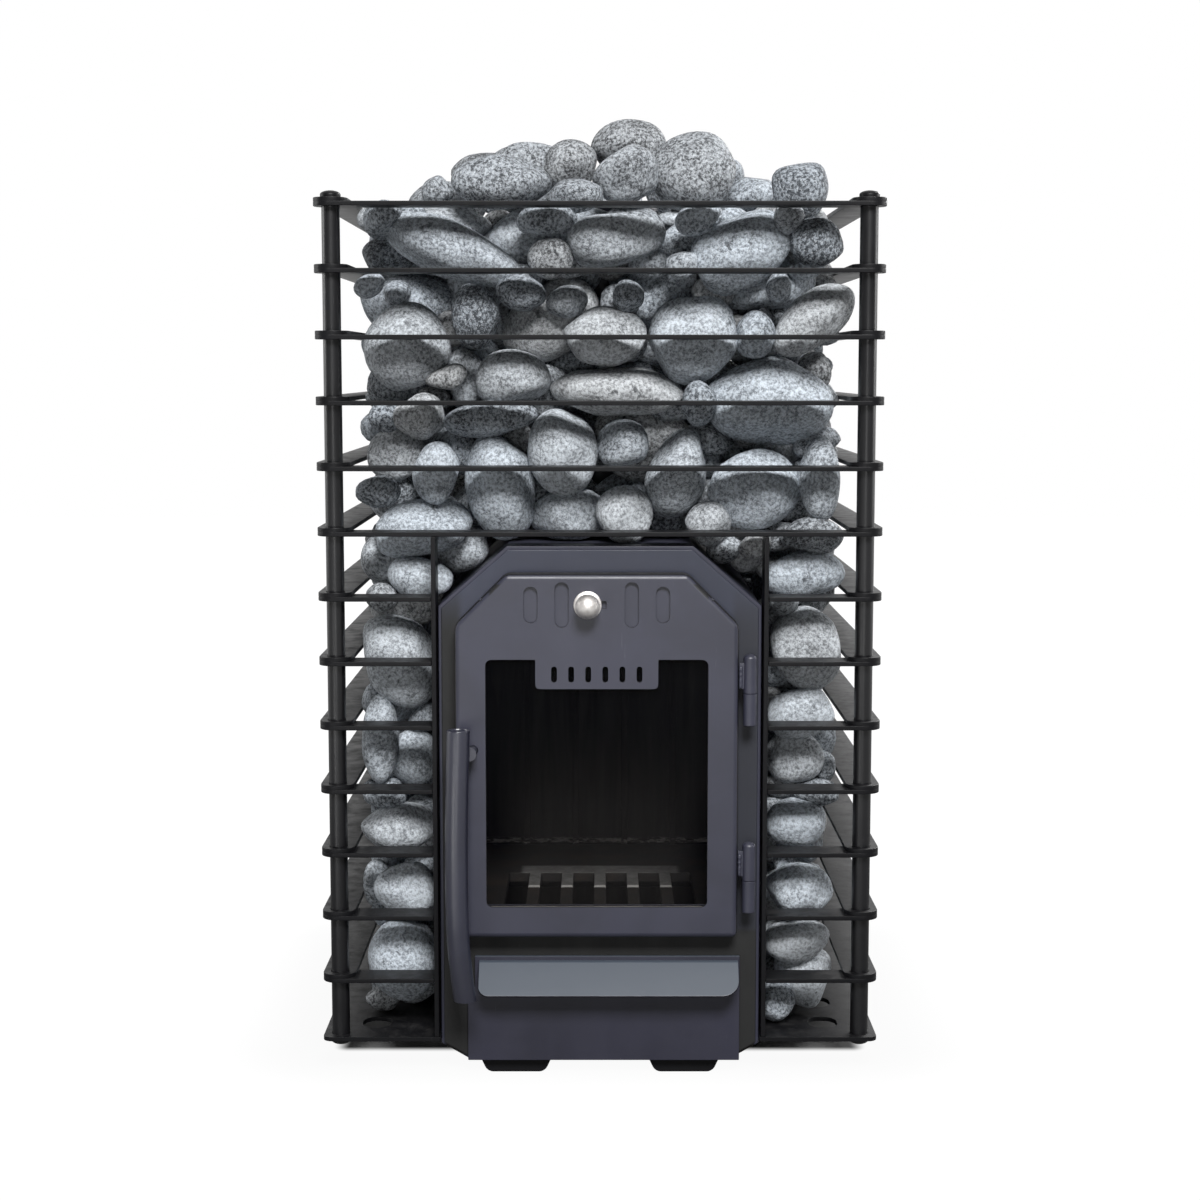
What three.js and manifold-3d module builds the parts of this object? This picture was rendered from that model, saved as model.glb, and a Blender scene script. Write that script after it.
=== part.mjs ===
// Wood-burning sauna heater. A steel firebox with a glazed door and an ash drawer stands inside
// a cage of flat-bar rings, and the cage holds the heating stones round and above the firebox.
// Millimetres, +Z up, the door faces -Y, and the origin is on the floor under the heater's middle.
import * as THREE from 'three';
import { mergeVertices } from 'three/addons/utils/BufferGeometryUtils.js';
import Module from 'manifold-3d';

const wasm = await Module();
wasm.setup();

// Fits that all pieces share
const SEAM = 0.3; // between two pieces that touch
const RUNNING_GAP = 0.6; // round a shaft or beside a slide
const OVERCUT = 2; // how far a cutting tool runs past the face it cuts
const WELD_SINK = 0.4; // how deep two welded bars sink into each other
const ARC_STEPS = 2; // facets of a small rounding

// Stone cage
const CAGE_WIDTH = 500;
const CAGE_DEPTH = 500;
const BAR_WIDTH = 30;
const BAR_THICKNESS = 4;
const BAR_CORNER = 8; // setback of a bar's rounded corner
const RING_COUNT = 13;
const RING_SPACE = 49.9; // clear height between one ring and the next
const POST_DIAMETER = 16;
const POST_SIDES = 10;
const NUT_DIAMETER = 19;
const NUT_HEIGHT = 6;
const NUT_RIM = 0.4; // upright share of a nut's height
const NUT_SHOULDER = [0.6, 0.85]; // shares of a nut's radius and height where its dome flattens
const BASE_HEIGHT = 31; // floor to the underside of the base plate
const BASE_THICKNESS = 4;
const UPRIGHT_GAP = 1.5; // firebox side to the upright beside it
const AIR_SLOT_WIDTH = 26;
const AIR_SLOT_LENGTH = 33;
const AIR_SLOT_PITCH = 64;
const AIR_SLOT_INSET = 15; // cage bar to the middle of the air slots
const AIR_SLOT_FRONT = 45; // cage front to the middle of the first air slot

// Firebox
const FIREBOX_WIDTH = 287;
const FIREBOX_DEPTH = 331;
const FIREBOX_HEIGHT = 465.5;
const SHELL_WALL = 5;
const TOP_CHAMFER = [61, 53.5]; // across and up
const BOTTOM_CHAMFER = [24, 14];
const FRAME_SETBACK = 5; // cage front to the face of the front frame
const FRAME_THICKNESS = 4;
const FRAME_MARGIN = 3; // edge of the shell left showing round the frame
const FOOT_HEIGHT = 12.7;
const FOOT_TOP_WIDTH = 64;
const FOOT_BOTTOM_WIDTH = 52;
const FOOT_LENGTH = 40;
const FOOT_INSET = 67.5; // firebox side to the middle of a foot
const FOOT_CORNER = 5;
const FLUE_DIAMETER = 115;
const FLUE_WALL = 3;
const FLUE_LENGTH = 312;
const FLUE_BACK_GAP = 17; // flue to the back of the firebox
const ROUND_SIDES = 24; // facets of the flue
const LEDGE_WIDTH = 15;
const LEDGE_THICKNESS = 6;
const GRATE_THICKNESS = 10;
const GRATE_DROP = 19; // window sill to the top of the grate
const GRATE_SLOTS = 6;
const GRATE_SLOT_WIDTH = 20;
const GRATE_BAR_WIDTH = 11.7;
const GRATE_SLOT_LENGTH = 143;
const GRATE_FRONT_GAP = 10;
const GRATE_FRONT_RIM = 34;
const LINER_THICKNESS = 5;
const LINER_TOP_GAP = 10.5; // liner to the baffle above it
const LINER_SIDE_GAP = 12;
const LINER_RIBS = 4;
const LINER_RIB = 6; // width and depth of a rib
const BAFFLE_THICKNESS = 6;
const BAFFLE_DROP = 72; // firebox top to the top of the baffle
const BAFFLE_FRONT_GAP = 90; // smoke passage in front of the baffle

// Ash drawer
const DRAWER_FRONT_HEIGHT = 96.5;
const DRAWER_FRONT_THICKNESS = 4;
const DRAWER_FRONT_LEFT = 21.5; // frame's left edge to the front plate
const DRAWER_FRONT_RIGHT = 15;
const DRAWER_FLOOR_LAP = 0.5; // front plate above the underside of the firebox
const TRAY_SIDE_ROOM = 30.5; // shell wall to the tray
const TRAY_DEPTH = 305;
const TRAY_WALL = 2;
const TRAY_DROP = 12; // top of the front plate to the rim of the tray
const TRAY_SIDE_GAP = 4;
const RUNNER_HEIGHT = 6;
const RUNNER_WIDTH = 20;
const LIP_SLANT = 40;
const LIP_THICKNESS = 3;
const LIP_ANGLE = 35; // degrees off the upright plate
const LIP_DROP = 3; // top of the front plate to the fold
const LIP_SIDE_INSET = 1.5; // right end of the lip to the end of the front plate
const LIP_LEFT_CORNER = 9;
const LIP_RIGHT_CORNER = 17;
const LIP_HANDLE_GAP = 1.5; // lip to the handle that hangs beside it
const HANDLE_NOTCH_GAP = 4; // lower end of the handle to the notch in the front plate

// Door
const RAIL_HEIGHT = 21; // drawer front to the door above it
const DOOR_TOP_GAP = 19.5; // door to the top of the frame
const DOOR_LATCH_MARGIN = 12.8; // frame edge to the door on the handle side
const DOOR_HINGE_MARGIN = 18.5;
const DOOR_CHAMFER = [46, 45];
const DOOR_DEPTH = 21.5;
const DOOR_GAP = 0.5; // door rim to the frame
const DOOR_WALL = 3;
const DOOR_LAP = 8; // how far the door covers the frame opening
const DOOR_CORNER = 3;
const WINDOW_SIDE_RAIL = 26.9;
const WINDOW_BOTTOM_RAIL = 28;
const WINDOW_TOP_RAIL = 75.4;
const WINDOW_CORNER = 5;
const TAB_WIDTH = 108; // plate tongue that hangs into the window
const TAB_HEIGHT = 26;
const TAB_SLOTS = 6;
const TAB_SLOT_WIDTH = 5;
const TAB_SLOT_HEIGHT = 14;
const TAB_SLOT_PITCH = 15;
const GLASS_THICKNESS = 4;
const GLASS_LAP = 5.5; // glass behind the window edge
const GLASS_SEAL_THICKNESS = 2;
const RETAINER_THICKNESS = 2.5;
const DOOR_SEAL_WIDTH = 5;
const DOOR_SEAL_DEPTH = 8;

// Air slider in the door
const VENT_WIDTH = 12.3;
const VENT_ROW = 27; // door top to the middle of the vents
const VENT_OFFSETS = [30.7, 58]; // either side of the door's middle
const VENT_HEIGHTS = [40, 32];
const SLIDER_TRAVEL = 13;
const SLIDER_THICKNESS = 2;
const SLIDER_LAP = 1.2; // slider beyond the vents
const GUIDE_THICKNESS = 2.2;
const GUIDE_LIP = 4;
const KNOB_DIAMETER = 21.5;
const KNOB_SIDE = 8; // door's middle to the knob, towards the handle side
const KNOB_SEAT = 0.95; // ball's middle in front of its flat seat, in radii
const STUD_DIAMETER = 6;
const STUD_COLLAR = 14;
const STUD_COLLAR_THICKNESS = 3;
const STUD_DEPTH_IN_KNOB = 8;

// Hinges
const KNUCKLE_DIAMETER = 12;
const KNUCKLE_SIDES = 16;
const HINGE_OFFSET = 10; // door edge to the hinge axis
const HINGE_PROUD = 1; // knuckle in front of the door's face
const DOOR_KNUCKLE_HEIGHT = 35;
const FRAME_KNUCKLE_HEIGHT = 28.5;
const KNUCKLE_CROWN = 3; // height of the rounded top
const KNUCKLE_SHOULDER = [0.7, 0.75]; // shares of the radius and the crown where the top flattens
const PIN_DIAMETER = 6;
const PIN_LENGTH = 22;
const LOWER_HINGE = 51; // door bottom to the split of the lower hinge
const UPPER_HINGE = 106; // door top to the split of the upper hinge
const HINGE_TAB_THICKNESS = 5;
const HINGE_TAB_INSET = 4;

// Latch and handle
const HANDLE_DIAMETER = 20;
const HANDLE_SIDES = 12;
const HANDLE_STEPS = 8;
const HANDLE_LENGTH = 240;
const HANDLE_INSET = 4.7; // door edge to the handle's top
const HANDLE_BOW = 4; // sideways bow at half height
const HANDLE_TOE = 3; // sideways run-out at the lower end
const HANDLE_STANDOFF = 52; // frame face to the middle of the handle
const HANDLE_ABOVE_PIVOT = 22;
const PIVOT_HEIGHT = 169; // door bottom to the latch spindle
const PIVOT_INSET = 15.7; // door edge to the latch spindle
const SPINDLE_DIAMETER = 8;
const LUG_THICKNESS = 4;
const LUG_HEIGHT = 20;
const HOOK_REACH = 17.5;
const HOOK_WIDTH = 8;
const HOOK_HUB = 5.5; // half the width of the hook round the spindle
const HOOK_THICKNESS = 5;
const KEEPER_WIDTH = 15;
const KEEPER_HEIGHT = 30;
const KEEPER_THICKNESS = 2.5;

// Stones
const STONE_GAP = 0.6; // stones to steel
const STONE_LENGTH = 78; // from one scattered stone to the next along a side
const STONE_HEIGHT = 56; // from one row of them to the next
const STONE_DEPTHS = [14, 32]; // least and greatest half depth of a front stone
const STONE_STEP = 3; // how far a stone is moved inwards at a time
const STONE_STEPS = 40; // how often a front stone may be moved
// The other sides get two layers: the size of their stones and how often each may be moved
const STONE_LAYERS = [[1, 5], [0.75, 6]];
const STONE_NEARNESS = 0.8; // below this two stones are too close
const STONE_FINE = 56; // a front stone with a greater half length and height gets more faces
const CORE_DEPTH = 28; // outer side of the stones to the packed core behind them
const CORE_DROP = 26; // top ring to the core under it
const CORE_HOLD = 6; // how far a stone is drawn into the core
const FLUE_BERTH = 20; // flue to the heap in front of it
// The stones that face the door, the foremost first: across from the middle, height above the
// floor, length, height of the stone, and tilt in degrees.
const FRONT_STONES = [
  // under the top ring
  [-133, 740, 137, 50, -22], [-64, 752, 85, 56, -5], [15, 750, 85, 48, 12], [129, 739, 92, 66, 25],
  [80, 746, 58, 48, 20], [193, 746, 48, 43, 0], [-193, 737, 52, 34, 0], [-137, 768, 76, 27, -5],
  [-17, 768, 60, 28, 0], [93, 770, 86, 26, 4],
  // second row
  [-174, 654, 78, 78, 12], [5, 664, 75, 54, 0], [83, 660, 81, 78, 0], [192, 678, 88, 48, 38],
  [-45, 678, 98, 64, 32], [154, 706, 88, 37, 8], [53, 705, 85, 64, 35], [-174, 691, 95, 56, 0],
  [139, 665, 35, 42, 0], [-111, 681, 46, 60, 0],
  // third row
  [153, 606, 117, 80, 0], [-78, 627, 70, 50, 0], [15, 614, 121, 44, -3], [-121, 625, 38, 54, 0],
  [-163, 592, 46, 44, 0], [-194, 591, 32, 29, 0], [88, 603, 30, 42, 0], [195, 630, 30, 40, 0],
  // fourth row
  [-184, 558, 56, 51, 0], [-34, 559, 64, 80, 0], [-90, 528, 64, 98, 8], [71, 540, 53, 86, -22],
  [140, 526, 85, 73, 0], [38, 563, 92, 66, -5], [-98, 590, 85, 32, 8], [160, 550, 48, 44, 0],
  [197, 536, 38, 76, 0], [-146, 541, 42, 58, 0],
  // fifth row
  [-159, 492, 92, 52, 14], [-28, 502, 72, 50, 10], [23, 503, 53, 53, 0], [-184, 521, 38, 38, 0],
  [98, 495, 42, 40, 0], [190, 485, 56, 32, 0], [60, 502, 40, 40, 0],
  // beside the head of the firebox
  [-162, 446, 60, 40, -15], [183, 450, 74, 42, 0], [131, 478, 46, 66, 30], [-127, 471, 50, 42, 25],
  [-196, 462, 46, 50, 0],
  // left of the firebox, downwards
  [-182, 371, 66, 92, 30], [-200, 298, 34, 82, 0], [-172, 278, 46, 52, 0], [-184, 217, 70, 42, 8],
  [-178, 160, 58, 50, 0], [-183, 88, 64, 78, 0], [-205, 160, 26, 46, 0],
  // right of the firebox, downwards
  [186, 382, 64, 76, 0], [183, 323, 62, 46, 0], [178, 281, 54, 50, 0], [205, 268, 26, 32, 0],
  [179, 221, 56, 46, 0], [184, 155, 62, 54, 0], [181, 110, 60, 40, 5], [190, 71, 54, 62, 0],
];
// The upper stones: across from the middle, back from the cage front and up from the top ring,
// half the length, depth and height, and the tilt in degrees.
const HEAP_STONES = [
  [-148, 100, 12, 15, 17, 15, 0], [-88, 66, 18, 45, 30, 24, 4], [-70, 128, 38, 42, 32, 22, 8],
  [-29, 120, 36, 27, 27, 23, 0], [27, 142, 52, 36, 34, 28, 0], [23, 84, 26, 30, 27, 27, 0],
  [84, 114, 30, 39, 34, 38, -20], [-22, 62, 6, 26, 20, 15, 0], [142, 150, 12, 28, 26, 16, 0],
  [180, 82, 10, 25, 24, 28, 0], [-97, 212, 30, 46, 38, 28, -8], [95, 208, 32, 44, 40, 30, 8],
  [-152, 290, 14, 40, 44, 24, 5], [152, 268, 14, 42, 38, 24, -6], [-84, 352, 26, 44, 40, 28, 12],
  [92, 342, 26, 46, 36, 28, -10], [5, 400, 20, 40, 34, 26, 4],
];

// Places that follow from the sizes above
const cageLeft = -CAGE_WIDTH / 2;
const cageFront = -CAGE_DEPTH / 2;
const cageBack = CAGE_DEPTH / 2;
const postX = (CAGE_WIDTH - BAR_WIDTH) / 2;
const postY = (CAGE_DEPTH - BAR_WIDTH) / 2;
const baseTop = BASE_HEIGHT + BASE_THICKNESS;
const ringHeight = 2 * BAR_THICKNESS - WELD_SINK;
const ringLevel = (number) => baseTop + number * RING_SPACE + (number - 1) * ringHeight;
const cageTop = ringLevel(RING_COUNT) + ringHeight;

const frameFront = cageFront + FRAME_SETBACK;
const frameBack = frameFront + FRAME_THICKNESS;
const fireFront = frameBack + SEAM;
const fireBack = fireFront + FIREBOX_DEPTH;
const fireHalf = FIREBOX_WIDTH / 2;
const fireBottom = FOOT_HEIGHT + SEAM;
const fireTop = fireBottom + FIREBOX_HEIGHT;
const innerHalf = fireHalf - SHELL_WALL;
const innerBack = fireBack - SHELL_WALL;
const innerFloor = fireBottom + SHELL_WALL;
const frameHalf = fireHalf - FRAME_MARGIN;
const frameTop = fireTop - FRAME_MARGIN;
const flueRadius = FLUE_DIAMETER / 2;
const flueBore = flueRadius - FLUE_WALL;
const flueY = fireBack - FLUE_BACK_GAP - flueRadius;
const uprightX = fireHalf + UPRIGHT_GAP;
const isOpenRing = (number) => ringLevel(number) < fireTop + SEAM;
const ringNumbers = Array.from({ length: RING_COUNT }, (_, index) => index + 1);
const firstFullRing = ringNumbers.find((number) => !isOpenRing(number)) ?? RING_COUNT;

const drawerLow = fireBottom + DRAWER_FLOOR_LAP;
const drawerTop = drawerLow + DRAWER_FRONT_HEIGHT;
const drawerLeft = -frameHalf + DRAWER_FRONT_LEFT;
const drawerRight = frameHalf - DRAWER_FRONT_RIGHT;
const drawerBack = frameFront - SEAM;
const drawerFront = drawerBack - DRAWER_FRONT_THICKNESS;
const trayLow = innerFloor + RUNNER_HEIGHT + SEAM;
const trayTop = drawerTop - TRAY_DROP;
const trayHalf = innerHalf - TRAY_SIDE_ROOM;
const trayFront = drawerBack + SEAM;

const doorLow = drawerTop + RAIL_HEIGHT;
const doorTop = frameTop - DOOR_TOP_GAP;
const doorLeft = -frameHalf + DOOR_LATCH_MARGIN;
const doorRight = frameHalf - DOOR_HINGE_MARGIN;
const doorMiddle = (doorLeft + doorRight) / 2;
const doorBack = frameFront - DOOR_GAP;
const doorFront = doorBack - DOOR_DEPTH;
const doorPlateBack = doorFront + DOOR_WALL;
const windowLeft = doorLeft + WINDOW_SIDE_RAIL;
const windowRight = doorRight - WINDOW_SIDE_RAIL;
const windowLow = doorLow + WINDOW_BOTTOM_RAIL;
const windowTop = doorTop - WINDOW_TOP_RAIL;
const grateTop = windowLow - GRATE_DROP;
const grateFront = fireFront + GRATE_FRONT_GAP;
const baffleTop = fireTop - BAFFLE_DROP;
const glassSealFront = doorPlateBack + SEAM;
const glassFront = glassSealFront + GLASS_SEAL_THICKNESS + SEAM;
const retainerFront = glassFront + GLASS_THICKNESS + SEAM;

const ventLevel = doorTop - VENT_ROW;
const sliderFront = doorPlateBack + SEAM;
const sliderBack = sliderFront + SLIDER_THICKNESS;
const sliderHalf = Math.max(...VENT_OFFSETS) + VENT_WIDTH / 2 + SLIDER_LAP;
const sliderTop = ventLevel + Math.max(...VENT_HEIGHTS) / 2 + SLIDER_LAP;
const sliderLow = ventLevel - Math.max(...VENT_HEIGHTS) / 2 - SLIDER_LAP;
const knobX = doorMiddle - KNOB_SIDE;
const collarBack = doorFront - SEAM;
const collarFront = collarBack - STUD_COLLAR_THICKNESS;
const knobRadius = KNOB_DIAMETER / 2;

const hingeX = doorRight + HINGE_OFFSET;
const hingeY = doorFront + KNUCKLE_DIAMETER / 2 - HINGE_PROUD;
const lowerSplit = doorLow + LOWER_HINGE;
const upperSplit = doorTop - UPPER_HINGE;

const handleX = doorLeft + HANDLE_INSET;
const handleY = frameFront - HANDLE_STANDOFF;
const handleRadius = HANDLE_DIAMETER / 2;
const pivotX = doorLeft + PIVOT_INSET;
const pivotZ = doorLow + PIVOT_HEIGHT;
const handleTop = pivotZ + HANDLE_ABOVE_PIVOT;
const handleLow = handleTop - HANDLE_LENGTH;
const handleBack = handleY + handleRadius;
const lugFront = handleBack + SEAM;
const lugBack = lugFront + LUG_THICKNESS;
const keeperFront = frameBack + SEAM;
const hookFront = keeperFront + KEEPER_THICKNESS + SEAM;
const hookBack = hookFront + HOOK_THICKNESS;
const lipLeft = handleX + HANDLE_TOE + handleRadius + LIP_HANDLE_GAP;
const lipRight = drawerRight - LIP_SIDE_INSET;

const stoneHalf = CAGE_WIDTH / 2 - BAR_WIDTH - STONE_GAP;
const stoneFront = cageFront + BAR_WIDTH + STONE_GAP;
const stoneBack = cageBack - BAR_WIDTH - STONE_GAP;
const stoneSide = fireHalf + STONE_GAP;
const stoneFloor = baseTop + STONE_GAP;
const stoneShelf = fireTop - TOP_CHAMFER[1]; // where the firebox starts to narrow
const heapSplit = flueY - flueRadius - FLUE_BERTH;
const heapReach = cageTop + CAGE_WIDTH;

// Finishes
const finish = (color, roughness, metalness) =>
  new THREE.MeshStandardMaterial({ color, roughness, metalness });
const blackPaint = finish(0x2d2e32, 0.5, 0.35);
const sootedSteel = finish(0x242322, 0.8, 0.4);
const greyPaint = finish(0x4a4e54, 0.5, 0.35);
const castIron = finish(0x3a3836, 0.75, 0.6);
const satinSteel = finish(0xb8b1a6, 0.32, 1);
const darkGlass = finish(0x0b0c0e, 0.08, 0);
const rope = finish(0x5f5b54, 0.95, 0);
const greyStone = finish(0x8b9195, 0.92, 0);

// Closed geometry to a solid that can be joined and cut
function toSolid(geometry) {
  const plain = geometry.clone();
  plain.deleteAttribute('normal');
  plain.deleteAttribute('uv');
  const merged = mergeVertices(plain);
  return new wasm.Manifold(new wasm.Mesh({
    numProp: 3,
    vertProperties: new Float32Array(merged.attributes.position.array),
    triVerts: new Uint32Array(merged.index.array),
  }));
}

function toGeometry(solid) {
  const mesh = solid.getMesh();
  const geometry = new THREE.BufferGeometry();
  const points = new THREE.BufferAttribute(new Float32Array(mesh.vertProperties), 3);
  geometry.setAttribute('position', points);
  geometry.setIndex(new THREE.BufferAttribute(new Uint32Array(mesh.triVerts), 1));
  geometry.computeVertexNormals();
  return geometry;
}

const join = (first, ...others) => others.reduce((whole, next) => whole.add(next), first);
const cut = (first, ...tools) => tools.reduce((rest, tool) => rest.subtract(tool), first);

// Outline through corners given as [across, up, setback of the rounding]
function outline(corners, setback = 0) {
  const shape = new THREE.Shape();
  corners.forEach(([across, up, ownSetback], index) => {
    const round = ownSetback ?? setback;
    const corner = new THREE.Vector2(across, up);
    const [beforeAcross, beforeUp] = corners.at(index - 1);
    const [afterAcross, afterUp] = corners[(index + 1) % corners.length];
    const towardsBefore = new THREE.Vector2(beforeAcross, beforeUp).sub(corner).setLength(round);
    const towardsAfter = new THREE.Vector2(afterAcross, afterUp).sub(corner).setLength(round);
    const entry = corner.clone().add(towardsBefore);
    const exit = corner.clone().add(towardsAfter);
    if (index === 0) shape.moveTo(entry.x, entry.y);
    else shape.lineTo(entry.x, entry.y);
    if (round > 0) shape.quadraticCurveTo(corner.x, corner.y, exit.x, exit.y);
  });
  shape.closePath();
  return shape;
}

const rectangle = (left, right, low, high) => [[left, low], [right, low], [right, high], [left, high]];

// The corners of a convex outline, drawn counter-clockwise, moved inwards by a distance
function inset(corners, distance) {
  return corners.map(([across, up], index) => {
    const [beforeAcross, beforeUp] = corners.at(index - 1);
    const [afterAcross, afterUp] = corners[(index + 1) % corners.length];
    const arriving = new THREE.Vector2(across - beforeAcross, up - beforeUp).normalize();
    const leaving = new THREE.Vector2(afterAcross - across, afterUp - up).normalize();
    const inwards = new THREE.Vector2(-arriving.y - leaving.y, arriving.x + leaving.x);
    inwards.multiplyScalar(distance / (1 + arriving.dot(leaving)));
    return [across + inwards.x, up + inwards.y];
  });
}

// Upright slot with round ends
function slot(middle, level, width, height) {
  const radius = width / 2;
  const straight = height / 2 - radius;
  const shape = new THREE.Shape();
  shape.absarc(middle, level + straight, radius, 0, Math.PI);
  shape.absarc(middle, level - straight, radius, Math.PI, 2 * Math.PI);
  return shape;
}

const extrude = (shape, depth) =>
  new THREE.ExtrudeGeometry(shape, { depth, bevelEnabled: false, curveSegments: ARC_STEPS });

// Outline in X and Z between a front and a back plane
const standing = (shape, front, back) =>
  toSolid(extrude(shape, back - front).rotateX(Math.PI / 2).translate(0, back, 0));

// Outline in X and Y between a low and a high plane
const lying = (shape, low, high) => toSolid(extrude(shape, high - low).translate(0, 0, low));

function block(left, right, front, back, low, high) {
  const geometry = new THREE.BoxGeometry(right - left, back - front, high - low);
  return toSolid(geometry.translate((left + right) / 2, (front + back) / 2, (low + high) / 2));
}

function rodUp(x, y, radius, low, high, sides) {
  const geometry = new THREE.CylinderGeometry(radius, radius, high - low, sides).rotateX(Math.PI / 2);
  return toSolid(geometry.translate(x, y, (low + high) / 2));
}

function rodBack(x, z, radius, front, back, sides) {
  const geometry = new THREE.CylinderGeometry(radius, radius, back - front, sides);
  return toSolid(geometry.translate(x, (front + back) / 2, z));
}

// Turned solid from [radius, height] pairs, standing on its axis
function turned(profile, sides) {
  const points = profile.map(([radius, height]) => new THREE.Vector2(radius, height));
  return toSolid(new THREE.LatheGeometry(points, sides).rotateX(Math.PI / 2));
}

const heater = new THREE.Group();

function addPart(name, shape, material, parent = heater) {
  const mesh = new THREE.Mesh(shape.isBufferGeometry ? shape : toGeometry(shape), material);
  mesh.name = name;
  parent.add(mesh);
  return mesh;
}

// Cage rings: front and back bars below, side bars welded on top of their ends
function bar(left, right, front, back, low, innerCorner = BAR_CORNER) {
  const corners = [
    [left, front, BAR_CORNER],
    [right, front, innerCorner],
    [right, back, innerCorner],
    [left, back, BAR_CORNER],
  ];
  return lying(outline(corners), low, low + BAR_THICKNESS);
}

function cageRing(open) {
  const sideLow = BAR_THICKNESS - WELD_SINK;
  const barLeft = bar(cageLeft, cageLeft + BAR_WIDTH, cageFront, cageBack, sideLow);
  const barRight = bar(-cageLeft - BAR_WIDTH, -cageLeft, cageFront, cageBack, sideLow);
  const barBack = bar(cageLeft, -cageLeft, cageBack - BAR_WIDTH, cageBack, 0);
  const stubEnd = -uprightX - BAR_THICKNESS - SEAM;
  const stub = () => bar(cageLeft, stubEnd, cageFront, cageFront + BAR_WIDTH, 0, 0);
  const fronts = open
    ? [stub(), stub().mirror([1, 0, 0])]
    : [bar(cageLeft, -cageLeft, cageFront, cageFront + BAR_WIDTH, 0)];
  const ring = join(barLeft, barRight, barBack, ...fronts);
  return cut(ring, ...postHoles(-OVERCUT, ringHeight + OVERCUT));
}

function postHoles(low, high) {
  const hole = (x, y) => rodUp(x, y, POST_DIAMETER / 2 + SEAM, low, high, POST_SIDES);
  return [hole(-postX, -postY), hole(postX, -postY), hole(-postX, postY), hole(postX, postY)];
}

function addCage() {
  const openRing = toGeometry(cageRing(true));
  const fullRing = toGeometry(cageRing(false));
  ringNumbers.forEach((number) => {
    const name = `cage_ring_${String(number).padStart(2, '0')}`;
    const ring = addPart(name, isOpenRing(number) ? openRing : fullRing, blackPaint);
    ring.position.z = ringLevel(number);
  });

  const nutRadius = NUT_DIAMETER / 2;
  const postRadius = POST_DIAMETER / 2;
  const headTop = BASE_HEIGHT - SEAM;
  const [shoulderRadius, shoulderHeight] = NUT_SHOULDER;
  const post = toGeometry(turned([
    [0, headTop - NUT_HEIGHT],
    [nutRadius * shoulderRadius, headTop - NUT_HEIGHT * shoulderHeight],
    [nutRadius, headTop - NUT_HEIGHT * NUT_RIM],
    [nutRadius, headTop],
    [postRadius, headTop],
    [postRadius, cageTop],
    [0, cageTop],
  ], POST_SIDES));
  const capNut = toGeometry(turned([
    [0, 0],
    [nutRadius, 0],
    [nutRadius, NUT_HEIGHT * NUT_RIM],
    [nutRadius * shoulderRadius, NUT_HEIGHT * shoulderHeight],
    [0, NUT_HEIGHT],
  ], POST_SIDES));
  for (const [across, x] of [['left', -postX], ['right', postX]]) {
    for (const [along, y] of [['front', -postY], ['back', postY]]) {
      addPart(`post_${along}_${across}`, post, blackPaint).position.set(x, y, 0);
      addPart(`cap_nut_${along}_${across}`, capNut, blackPaint).position.set(x, y, cageTop + SEAM);
    }
  }

  const uprightTop = ringLevel(firstFullRing) - SEAM;
  const upright = toGeometry(block(
    -BAR_THICKNESS / 2, BAR_THICKNESS / 2, cageFront, cageFront + BAR_WIDTH, baseTop + SEAM, uprightTop));
  const uprightMiddle = uprightX + BAR_THICKNESS / 2;
  addPart('upright_left', upright, blackPaint).position.x = -uprightMiddle;
  addPart('upright_right', upright, blackPaint).position.x = uprightMiddle;
  addPart('base_plate', basePlate(), blackPaint);
}

// Base plate, notched from the front for the firebox and slotted for air under the stones
function basePlate() {
  const edge = outline(rectangle(cageLeft, -cageLeft, cageFront, cageBack), BAR_CORNER);
  const plate = lying(edge, BASE_HEIGHT, baseTop);
  const low = BASE_HEIGHT - OVERCUT;
  const high = baseTop + OVERCUT;
  const notch = block(
    -fireHalf - SEAM, fireHalf + SEAM, cageFront - OVERCUT, fireBack + SEAM, low, high);
  const slotX = -cageLeft - BAR_WIDTH - AIR_SLOT_INSET;
  const slotCount = Math.floor((CAGE_DEPTH - 2 * AIR_SLOT_FRONT) / AIR_SLOT_PITCH) + 1;
  const airSlots = [];
  for (let index = 0; index < slotCount; index += 1) {
    const y = cageFront + AIR_SLOT_FRONT + index * AIR_SLOT_PITCH;
    for (const x of [-slotX, slotX]) {
      airSlots.push(lying(slot(x, y, AIR_SLOT_WIDTH, AIR_SLOT_LENGTH), low, high));
    }
  }
  return cut(plate, notch, ...airSlots, ...postHoles(low, high));
}

// Firebox
function bodyCorners() {
  const [topAcross, topUp] = TOP_CHAMFER;
  const [lowAcross, lowUp] = BOTTOM_CHAMFER;
  return [
    [lowAcross - fireHalf, fireBottom],
    [fireHalf - lowAcross, fireBottom],
    [fireHalf, fireBottom + lowUp],
    [fireHalf, fireTop - topUp],
    [fireHalf - topAcross, fireTop],
    [topAcross - fireHalf, fireTop],
    [-fireHalf, fireTop - topUp],
    [-fireHalf, fireBottom + lowUp],
  ];
}

function doorCorners() {
  const [across, up] = DOOR_CHAMFER;
  return [
    [doorLeft, doorLow],
    [doorRight, doorLow],
    [doorRight, doorTop - up],
    [doorRight - across, doorTop],
    [doorLeft + across, doorTop],
    [doorLeft, doorTop - up],
  ];
}

// A bar on each side wall that carries a plate whose underside is at the given level
function ledges(level, front, back) {
  const ledge = block(
    innerHalf - LEDGE_WIDTH, innerHalf + SHELL_WALL / 2, front, back, level - LEDGE_THICKNESS, level);
  return [ledge, ledge.mirror([1, 0, 0])];
}

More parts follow.
